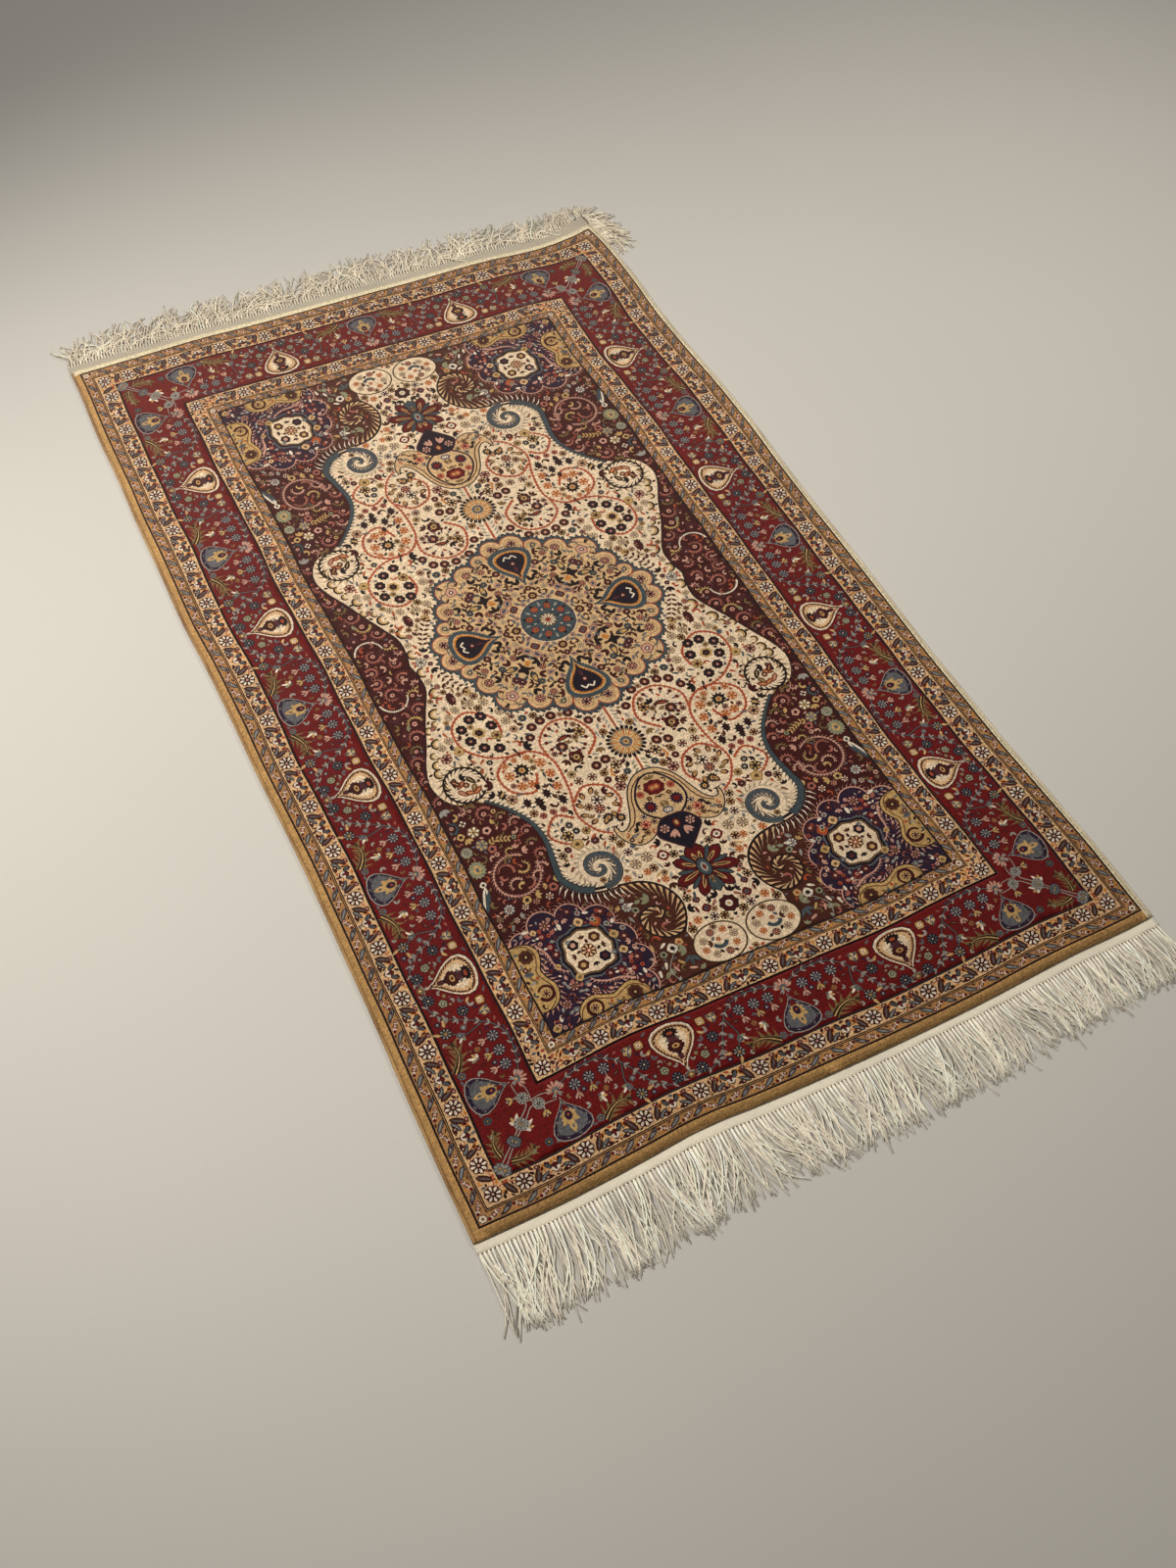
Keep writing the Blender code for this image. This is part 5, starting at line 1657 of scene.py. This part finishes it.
def silk_pile():
    """Cut silk knots: each a little lighter or darker, in rows that took the dye unevenly, with a soft shine."""
    material = new_material(
        "silk_pile_knots", Roughness=0.55, Sheen_Weight=0.14, Sheen_Roughness=0.4, Specular_IOR_Level=0.12
    )
    dye = add(material, "Attribute", attribute_name="dye").outputs["Color"]
    cells = {"Vector": place_on_cloth(material, (620, 560, 1)), "Scale": 1.0, "Randomness": 0.6}
    knot = add(material, "TexVoronoi", cells, voronoi_dimensions="2D")
    tone = add(material, "SeparateColor", {"Color": knot.outputs["Color"]}).outputs["Red"]
    row = noise(material, (5, 420, 1), 2.0)
    bath = noise(material, (1.1, 30, 1), 3.0)
    lay = noise(material, (9, 7, 1), 4.0)
    tuft = noise(material, (230, 260, 1), 3.0, 0.7)
    # painted shade: every dye starts darkened to 0.8 for the shade down between the knots
    factor = 0.8
    for value, reach in ((tone, 0.24), (row, 0.2), (bath, 0.16), (lay, 0.1), (tuft, 0.45)):
        factor = math_node(material, "MULTIPLY", factor, around_one(material, value, reach))
    # painted sheen: the colour is mixed towards a pale haze towards the far end, where the silk's sheen shows
    along = add(material, "SeparateXYZ", {"Vector": place_on_cloth(material, (1, 1, 1))}).outputs["Y"]
    reach = {"Value": along, "From Min": -0.2, "From Max": 0.8, "To Min": 0.0, "To Max": 0.045}
    painted_sheen = add(material, "MapRange", reach).outputs["Result"]
    inputs = {0: painted_sheen, 6: tinted(material, dye, factor), 7: (0.66, 0.48, 0.38, 1)}
    shade_by(material, "Base Color", add(material, "Mix", inputs, data_type="RGBA").outputs[2])
    shade_by(material, "Roughness", math_node(material, "MULTIPLY_ADD", lay, 0.16, 0.44))
    # the pile leans towards the near end
    upright = add(material, "NewGeometry").outputs["Normal"]
    lean = add(material, "VectorMath", {0: upright, 1: (0, -0.3, 0)}, operation="ADD").outputs[0]
    lean = add(material, "VectorMath", {0: lean}, operation="NORMALIZE").outputs[0]
    fine = bump(material, knot.outputs["Distance"], 0.6, 0.0008, lean, invert=True)
    ribs = bump(material, row, 0.3, 0.0008, fine)
    shade_by(material, "Normal", bump(material, lay, 0.25, 0.004, ribs))
    return material


def overcast_silk(name, worn, fresh):
    """Gold silk wound round a side cord, turn beside turn."""
    material = new_material(name, Roughness=0.48, Sheen_Weight=0.3, Sheen_Roughness=0.4, Specular_IOR_Level=0.4)
    turn_of = noise(material, (40, 620, 1), 2.0)
    wear = noise(material, (60, 14, 20), 3.0, 0.5, "3D")
    colour = add(material, "ValToRGB", {"Fac": wear})
    for stop, place, rgb in zip(colour.color_ramp.elements, (0.3, 0.7), (worn, fresh)):
        stop.position, stop.color = place, (*linear(rgb), 1)
    silk = tinted(material, colour.outputs["Color"], around_one(material, turn_of, 0.25))
    shade_by(material, "Base Color", silk)
    wrap = wave(material, 310.0, 1.2, 1.0, "Y")
    shade_by(material, "Normal", bump(material, wrap, 0.7, 0.0007))
    return material


def pale_warp(name, weave):
    """Undyed warp: woven flat where weave is true, else as loose yarns."""
    material = new_material(name, Roughness=0.72, Sheen_Weight=0.2, Sheen_Roughness=0.5, Specular_IOR_Level=0.25)
    dye = add(material, "Attribute", attribute_name="dye").outputs["Color"]
    stain = noise(material, (14, 22, 1), 4.0)
    if weave:
        across = wave(material, 210.0, 1.5, 2.0, "X")
        along = wave(material, 260.0, 1.0, 2.0, "Y")
        height = math_node(material, "MULTIPLY", across, along)
        depth = 0.0009
    else:
        height = noise(material, (1700, 1700, 1700), 2.0, 0.5, "3D")
        depth = 0.0005
    # painted shade: the colour follows the bump's height, darker in the hollows of the weave and of the loose yarns'
    # ply
    uneven = around_one(material, height, 0.22 if weave else 0.4)
    factor = math_node(material, "MULTIPLY", around_one(material, stain, 0.16), uneven)
    shade_by(material, "Base Color", tinted(material, dye, factor))
    shade_by(material, "Normal", bump(material, height, 0.6, depth))
    return material


def plain_floor():
    """A pale, even floor."""
    material = new_material("pale_floor", Roughness=0.7, Specular_IOR_Level=0.2)
    cloud = noise(material, (1.4, 1.4, 1), 2.0, 0.5, "3D")
    grain = noise(material, (160, 160, 1), 3.0, 0.5, "3D")
    factor = math_node(material, "MULTIPLY", around_one(material, cloud, 0.03), around_one(material, grain, 0.015))
    shade_by(material, "Base Color", tinted(material, (*linear((196, 191, 180)), 1), factor))
    shade_by(material, "Normal", bump(material, grain, 0.05, 0.001))
    return material


PILE = silk_pile()
OVERCAST_LEFT = overcast_silk("gold_silk_overcast_left", (140, 98, 52), (204, 160, 98))
OVERCAST_RIGHT = overcast_silk("gold_silk_overcast_right", (204, 180, 140), (250, 232, 196))
WOVEN_WARP = pale_warp("pale_warp_woven", True)
LOOSE_WARP = pale_warp("pale_warp_loose", False)
FLOOR = plain_floor()

places, corners, dyes = four_quarters(*art.mosaic(HALF_WIDTH - SELVEDGE_WIDTH, HALF_LENGTH, PILE_STEP))
middle = places[corners].mean(axis=1)
depth = np.minimum(HALF_WIDTH - np.abs(middle[:, 0]), HALF_LENGTH - np.abs(middle[:, 1]))
faded = (middle[:, 0] > HALF_WIDTH - EDGE_LINE) | (middle[:, 1] > HALF_LENGTH - EDGE_LINE)
dyes[faded & (dyes == DYE_NUMBER["gold"])] = DYE_NUMBER["pale_gold"]
pile_pieces = []
for name, chosen in (
    ("pile_outer_guards", depth < RED), ("pile_red_border", (depth > RED) & (depth < LINE_C)),
    ("pile_inner_guards", (depth > LINE_C) & (depth < FIELD)),
    ("pile_field_near", (depth > FIELD) & (middle[:, 1] < 0)), ("pile_field_far", (depth > FIELD) & (middle[:, 1] > 0)),
):
    pile_pieces.append(pile_piece(name, places, corners[chosen], dyes[chosen], PILE))


def draw_back(art):
    """The pattern's large forms, as the knots show them at the back."""
    for dye, d in (
        ("gold", -4), ("dark", EDGE_LINE), ("ochre", GUARD_A), ("dark", LINE_A), ("cream", GUARD_B), ("dark", LINE_B),
        ("brick", RED), ("dark", LINE_C), ("cream", GUARD_C), ("dark", LINE_D), ("ochre", GUARD_D), ("dark", LINE_E),
        ("maroon", FIELD),
    ):
        ground(art, dye, d)
    for x, y, r in CARTOUCHE_LOBES + CARTOUCHE_BODY:
        art.patch("indigo", oval(r, r, 14, x, y))
    art.patch("cream", oval(30, 30, 12, *STAR))
    art.patch("ivory", [(-4, 580), (60, 570)] + curve(IVORY_EDGE, 12) + [(-4, -8)])
    art.patch("teal", oval(150, 150, 36))
    art.patch("sand", oval(143, 143, 36))
    art.patch("teal", oval(38, 38, 16))
    for place in ((105, 0), (0, 105)):
        art.patch("navy", oval(20, 20, 10, *place))
    for band, drops in RED_DROPS:
        for i in range(drops):
            shape = scaled_about(heart_shape(65, 27.5), 1 if i % 2 else 0.82, 32)
            points = turned(shape, 90 if i % 2 else -90, RED_REPEAT * i, RED + (11 if i % 2 else 70))
            art.patch("cream" if i % 2 else "slate", [band(*p) for p in points])


def foundation():
    """The warps and wefts under the pile, one flat cloth, with the pattern showing at its back."""
    back = Drawing()
    draw_back(back)
    flat, faces, dye_of = four_quarters(*back.mosaic(HALF_WIDTH - SELVEDGE_WIDTH, HALF_LENGTH, BACK_STEP))
    used, faces = np.unique(faces, return_inverse=True)
    faces = faces.reshape(-1, 3)
    x, y = woven(*flat[used].T)
    n = len(x)
    points = np.concatenate([np.column_stack([x, y, np.full(n, z)]) for z in (FOUNDATION_TOP, 0.0)])
    edges, _ = rim_of(faces)
    e, f = edges[:, 0], edges[:, 1]
    sides = np.concatenate([np.column_stack([e, e + n, f]), np.column_stack([f, e + n, f + n])])
    plain = np.tile(BACK_LIGHT, (len(faces) + len(sides), 1))
    at_back = 0.75 * DYE_LIGHT[dye_of] + 0.2 * BACK_LIGHT
    colours = np.concatenate([plain[:len(faces)], at_back, plain[len(faces):]])
    return mesh_object("foundation", points, np.concatenate([faces, faces[:, ::-1] + n, sides]), PILE, colours)


base = foundation()
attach(base, "root")
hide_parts("rug_body")
for piece in pile_pieces:
    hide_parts("rug_body")


# Sides, headings and fringe
CORD_RINGS = 400
HEADING_COLUMNS = 201
CURL_START = 418  # where the far heading's edge begins to curl up
BUNDLES = 190


def sweep(rings):
    """Triangles over rings of points, each ring an array of as many corners."""
    rings = np.asarray(rings, float)
    count, corners = rings.shape[:2]
    index = np.arange(count * corners).reshape(count, corners)
    a, b = index[:-1], index[1:]
    c, d = np.roll(b, -1, axis=1), np.roll(a, -1, axis=1)
    tri = np.concatenate([np.stack([a, d, b], -1).reshape(-1, 3), np.stack([d, c, b], -1).reshape(-1, 3)])
    caps = [(index[0, 0], index[0, i + 1], index[0, i]) for i in range(1, corners - 1)]
    caps += [(index[-1, 0], index[-1, i], index[-1, i + 1]) for i in range(1, corners - 1)]
    return rings.reshape(-1, 3), np.concatenate([tri, caps])


def smooth(piece):
    """Shades the piece smooth."""
    piece.data.polygons.foreach_set("use_smooth", np.ones(len(piece.data.polygons), bool))
    piece.data.update()


def finish_piece(piece, node):
    """Turns the piece's faces out, and lets it ride and stand for its node."""
    bm = bmesh.new()
    bm.from_mesh(piece.data)
    bmesh.ops.recalc_face_normals(bm, faces=bm.faces)
    bm.to_mesh(piece.data)
    bm.free()
    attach(piece, "root")
    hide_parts(node)
    return piece


def selvedge(name, node, side, material):
    """A side cord wound with silk. Some turns of the winding stand a little proud."""
    rings = []
    ys = np.linspace(-HALF_LENGTH, HALF_LENGTH, CORD_RINGS)
    for k, y in enumerate(ys):
        proud = 0.16 * (1 if k % 2 else -1) + 0.12 * math.sin(k * 0.37) + 0.1 * math.sin(k * 0.11 + 2)
        if k in (0, len(ys) - 1):
            proud = -0.4
        ring = []
        for j in range(7):
            a = math.pi * (1.0 - j / 6)
            across = SELVEDGE_WIDTH * 0.5 * (1 - math.cos(math.pi - a))
            height = 2.2 + (2.2 + proud) * math.sin(a) ** 0.7 if 0 < j < 6 else 1.2
            out = across - (0.25 * proud if j < 3 else 0)
            px, py = on_cloth(side * (HALF_WIDTH - out), y)
            ring.append((float(px), float(py), height))
        foot = []
        for out in (SELVEDGE_WIDTH - 0.1, 0.5):
            px, py = on_cloth(side * (HALF_WIDTH - out), y)
            foot.append((float(px), float(py), 0.05))
        rings.append(ring + foot)
    points, triangles = sweep(rings)
    piece = mesh_object(name, points, triangles, material)
    smooth(piece)
    return finish_piece(piece, node)


def heading_edge(end, x):
    """A point of a heading's outer edge, as in the solids: end is -1 for the near end and 1 for the far one."""
    px, py = on_cloth(x, end * HALF_LENGTH)
    return float(px), float(py) + end * smooth_at(HEADINGS, 1 if end > 0 else 2, x)


def heading(name, node, end, dye):
    """The flat-woven band beyond the pile. At the far corner on the right its edge curls up."""
    rng = np.random.default_rng(11 + end)
    xs = np.linspace(-HALF_WIDTH, HALF_WIDTH, HEADING_COLUMNS)
    fray = np.interp(xs, np.linspace(-HALF_WIDTH, HALF_WIDTH, 90), rng.normal(0, 0.45, 90))
    rings = []
    for k, x in enumerate(xs):
        ix, iy = (float(v) for v in on_cloth(x, end * HALF_LENGTH))
        ox, oy = heading_edge(end, x)
        oy += end * fray[k]
        curl = min(max((x - CURL_START) / (HALF_WIDTH - CURL_START), 0), 1) ** 2 if end > 0 else 0.0
        ripple = 0.35 * math.sin(x / 17 + 0.7) + 0.3 * math.sin(x / 7.3)
        top, low = [], []
        for j in range(6):
            u = j / 5
            px, py = ix + (ox - ix) * u, iy + end * 0.1 + (oy - iy) * u
            lift = curl * 10.5 * u ** 1.5 + (0.25 + 0.25 * ripple) * math.sin(math.pi * u)
            px -= curl * 7.0 * u * u
            py -= curl * 3.5 * u * u
            top.append((px, py, 1.75 + lift - (0.5 if j == 5 else 0)))
            low.append((px, py, 0.05 + max(0.0, lift - 0.4)))
        rings.append(top + low[::-1])
    points, triangles = sweep(rings)
    shade = np.array([*linear(dye), 1.0])
    piece = mesh_object(name, points, triangles, WOVEN_WARP, np.tile(shade, (len(triangles), 1)))
    smooth(piece)
    return finish_piece(piece, node)




def smooth_noise(rng, places, step):
    """An uneven but smooth value from about -1 to 1 along a line."""
    low, high = min(places) - step, max(places) + step
    knots = np.arange(low, high + step, step)
    values = rng.uniform(-1, 1, len(knots))
    at = (np.asarray(places) - low) / step
    i = at.astype(int)
    t = at - i
    t = t * t * (3 - 2 * t)
    return values[i] * (1 - t) + values[np.minimum(i + 1, len(values) - 1)] * t


def plain_bundles(end, rows, reach):
    """Root, outward direction, direction, bend and length of the bundles before a straight heading."""
    out = []
    for i in range(BUNDLES):
        x = HALF_WIDTH * (2 * (i + 0.5) / BUNDLES - 1)
        if x >= reach:
            continue
        rx, ry = heading_edge(end, x)
        toward = end * 90 - end * smooth_at(rows, 1, x)
        out.append((rx, ry + end * 1.2, end * 90, toward, -end * smooth_at(rows, 2, x), smooth_at(rows, 3, x)))
    return out


def turned_bundles(rows, count):
    """The same for the bundles that turn round the far corner, along the rows' line."""
    places = [0.0]
    for low, high in zip(rows, rows[1:]):
        places.append(places[-1] + math.hypot(high[0] - low[0], high[1] - low[1]))
    track = [(place, *row) for place, row in zip(places, rows)]
    out = []
    for i in range(count):
        place = places[-1] * i / (count - 1)
        x, y, toward, length = (smooth_at(track, k, place) for k in (1, 2, 3, 4))
        dx = smooth_at(track, 1, place + 1) - smooth_at(track, 1, place - 1)
        dy = smooth_at(track, 2, place + 1) - smooth_at(track, 2, place - 1)
        facing = math.degrees(math.atan2(dx, -dy))
        back = math.radians(facing)
        out.append((x - 1.8 * math.cos(back), y - 1.8 * math.sin(back), facing, toward, 0, length))
    return out


def fringe(name, node, bundles, seed, wander, curl, steps, yarns, thickness, dye):
    """Loose warp ends in knotted bundles. wander is how far neighbouring bundles lean apart in clumps and curl
    how much a yarn bends on its own, in degrees. Each bundle has so many yarns, each of that thickness as a
    radius in mm, in that many steps."""
    rng = np.random.default_rng(seed)
    s = np.linspace(0, 1, steps + 1)
    order = np.arange(len(bundles)) * (2 * HALF_WIDTH / BUNDLES)
    clump = smooth_noise(rng, order, 26) * wander + smooth_noise(rng, order, 70) * wander * 0.8
    sway = smooth_noise(rng, order, 34) * wander
    points, triangles, colours = [], [], []
    base = 0
    for k, (rx, ry, out, toward, bend, length) in enumerate(bundles):
        away = math.radians(out)
        side = (-math.sin(away), math.cos(away))
        for y in range(yarns):
            own = rng.normal(0, 1, 8)
            turn = clump[k] + own[0] * curl * 0.55
            middle = (s[1:] + s[:-1]) / 2
            settled = np.minimum(1, middle * 2.5)
            angle = out + (toward - out) * settled + bend * middle
            angle = angle + settled * turn + sway[k] * np.sin(middle * math.pi * 1.2) * (1 - 0.6 * middle)
            angle = angle + curl * own[1] * np.sin(2 * math.pi * (middle * (0.8 + 0.25 * own[2]) + own[3])) * middle
            angle = np.radians(angle)
            long = length * (1 + 0.055 * own[4]) * (1.12 if rng.random() < 0.03 else 1)
            step = long / steps
            off = (y - (yarns - 1) / 2) * 0.6
            px = np.concatenate([[0], np.cumsum(np.cos(angle))]) * step + rx + side[0] * off
            py = np.concatenate([[0], np.cumsum(np.sin(angle))]) * step + ry + side[1] * off
            layer = abs(own[5]) * 1.5 + 0.3
            radius = thickness * (1 + 0.12 * own[6])
            thick = radius * np.where(s > 0.93, 0.6, 1 - 0.12 * s)
            arch = np.minimum(layer, 4) * np.sin(math.pi * np.minimum(s * 1.15, 1)) ** 0.8
            pz = radius + 0.1 + (1.5 - radius) * (1 - s) ** 3 + arch
            pz = np.maximum(pz, radius + 0.05)
            gx, gy = np.gradient(px), np.gradient(py)
            run = np.hypot(gx, gy)
            nx, ny = -gy / run, gx / run
            rings = np.stack([
                np.column_stack([px + nx * thick, py + ny * thick, pz]),
                np.column_stack([px, py, pz + thick]),
                np.column_stack([px - nx * thick, py - ny * thick, pz]),
                np.column_stack([px, py, pz - thick]),
            ], axis=1)
            p, t = sweep(rings)
            points.append(p)
            triangles.append(t + base)
            base += len(p)
            # yarns that lie deeper are greyer, as little light gets down to them
            shade = (0.5 + 0.5 * min(layer / 2.0, 1)) * (1 + 0.15 * own[7])
            colours.append(np.tile([*np.clip(shade * linear(dye), 0, 0.95), 1.0], (len(t), 1)))
        # the knot at the bundle's root
        rings = []
        for along, wide in ((-1.9, 0.5), (-0.7, 1.45), (1.1, 1.4), (2.6, 0.7)):
            ring = []
            for q in range(5):
                a = math.pi * q * 0.4
                across, up = wide * math.cos(a), 1.3 + min(wide, 1.25) * math.sin(a)
                x = rx + math.cos(away) * along + side[0] * across
                yy = ry + math.sin(away) * along + side[1] * across
                ring.append((x, yy, max(up, 0.05)))
            rings.append(ring)
        p, t = sweep(rings)
        points.append(p)
        triangles.append(t + base)
        base += len(p)
        colours.append(np.tile([*linear(dye), 1.0], (len(t), 1)))
    piece = mesh_object(name, np.concatenate(points), np.concatenate(triangles), LOOSE_WARP, np.concatenate(colours))
    smooth(piece)
    return finish_piece(piece, node)


near_bundles = plain_bundles(-1, NEAR_LIE, HALF_WIDTH)
far_bundles = plain_bundles(1, FAR_LIE, TURN_START) + turned_bundles(FAR_TURN, 34)
trim = [
    selvedge("side_cord_left", "selvedge_left", -1, OVERCAST_LEFT),
    selvedge("side_cord_right", "selvedge_right", 1, OVERCAST_RIGHT),
    heading("woven_band_near", "heading_near", -1, (254, 242, 214)),
    heading("woven_band_far", "heading_far", 1, (198, 185, 160)),
    fringe(
        "warp_ends_near", "fringe_near", near_bundles, seed=5, wander=14, curl=20, steps=7, yarns=4, thickness=0.86,
        dye=(252, 240, 216),
    ),
    fringe(
        "warp_ends_far", "fringe_far", far_bundles, seed=8, wander=22, curl=58, steps=10, yarns=3, thickness=0.95,
        dye=(240, 225, 198),
    ),
]

# Floor, light and camera
bpy.ops.mesh.primitive_plane_add(size=30, location=(0, 0, -0.0005))
floor = bpy.context.object
floor.name = "floor"
floor.data.materials.append(FLOOR)

world = bpy.data.worlds.new("studio")
bpy.context.scene.world = world
world.use_nodes = True
world.node_tree.nodes["Background"].inputs["Color"].default_value = (*linear((236, 236, 240)), 1)
world.node_tree.nodes["Background"].inputs["Strength"].default_value = 0.2


def hang(lamp, power, colour, place, target):
    """Hangs a lamp at its place, turned to its target."""
    lamp.energy = power
    lamp.color = colour
    item = bpy.data.objects.new(lamp.name, lamp)
    item.location = place
    item.rotation_euler = (Vector(target) - Vector(place)).to_track_quat("-Z", "Y").to_euler()
    bpy.context.scene.collection.objects.link(item)


def soft_light(name, width, height, power, colour, place, target):
    """A lamp as wide and high as a window."""
    lamp = bpy.data.lights.new(name, "AREA")
    lamp.shape = "RECTANGLE"
    lamp.size, lamp.size_y = width, height
    hang(lamp, power, colour, place, target)


spot = bpy.data.lights.new("key", "SPOT")
spot.spot_size = math.radians(82)
spot.spot_blend = 1.0
spot.shadow_soft_size = 0.16
hang(spot, power=210, colour=(1.0, 0.97, 0.93), place=(-1.3, 0.5, 2.1), target=(-0.3, -0.02, 0))
soft_light(
    "window", width=1.8, height=1.2, power=7, colour=(0.95, 0.97, 1.0), place=(-0.6, 2.8, 1.9), target=(0, 0.3, 0),
)
soft_light(
    "fill", width=1.0, height=0.5, power=22, colour=(1.0, 0.98, 0.95), place=(1.5, 0.5, 1.9), target=(0.75, 0.0, 0),
)

camera_data = bpy.data.cameras.new("camera")
camera_data.lens = 33.88
camera_data.sensor_width = 36
camera = bpy.data.objects.new("camera", camera_data)
camera.location = (-0.6114, -1.2167, 1.5612)
camera.rotation_euler = tuple(math.radians(a) for a in (34.5198, -1.8733, -26.9174))
bpy.context.scene.collection.objects.link(camera)
bpy.context.scene.camera = camera
bpy.context.scene.view_settings.view_transform = "Standard"
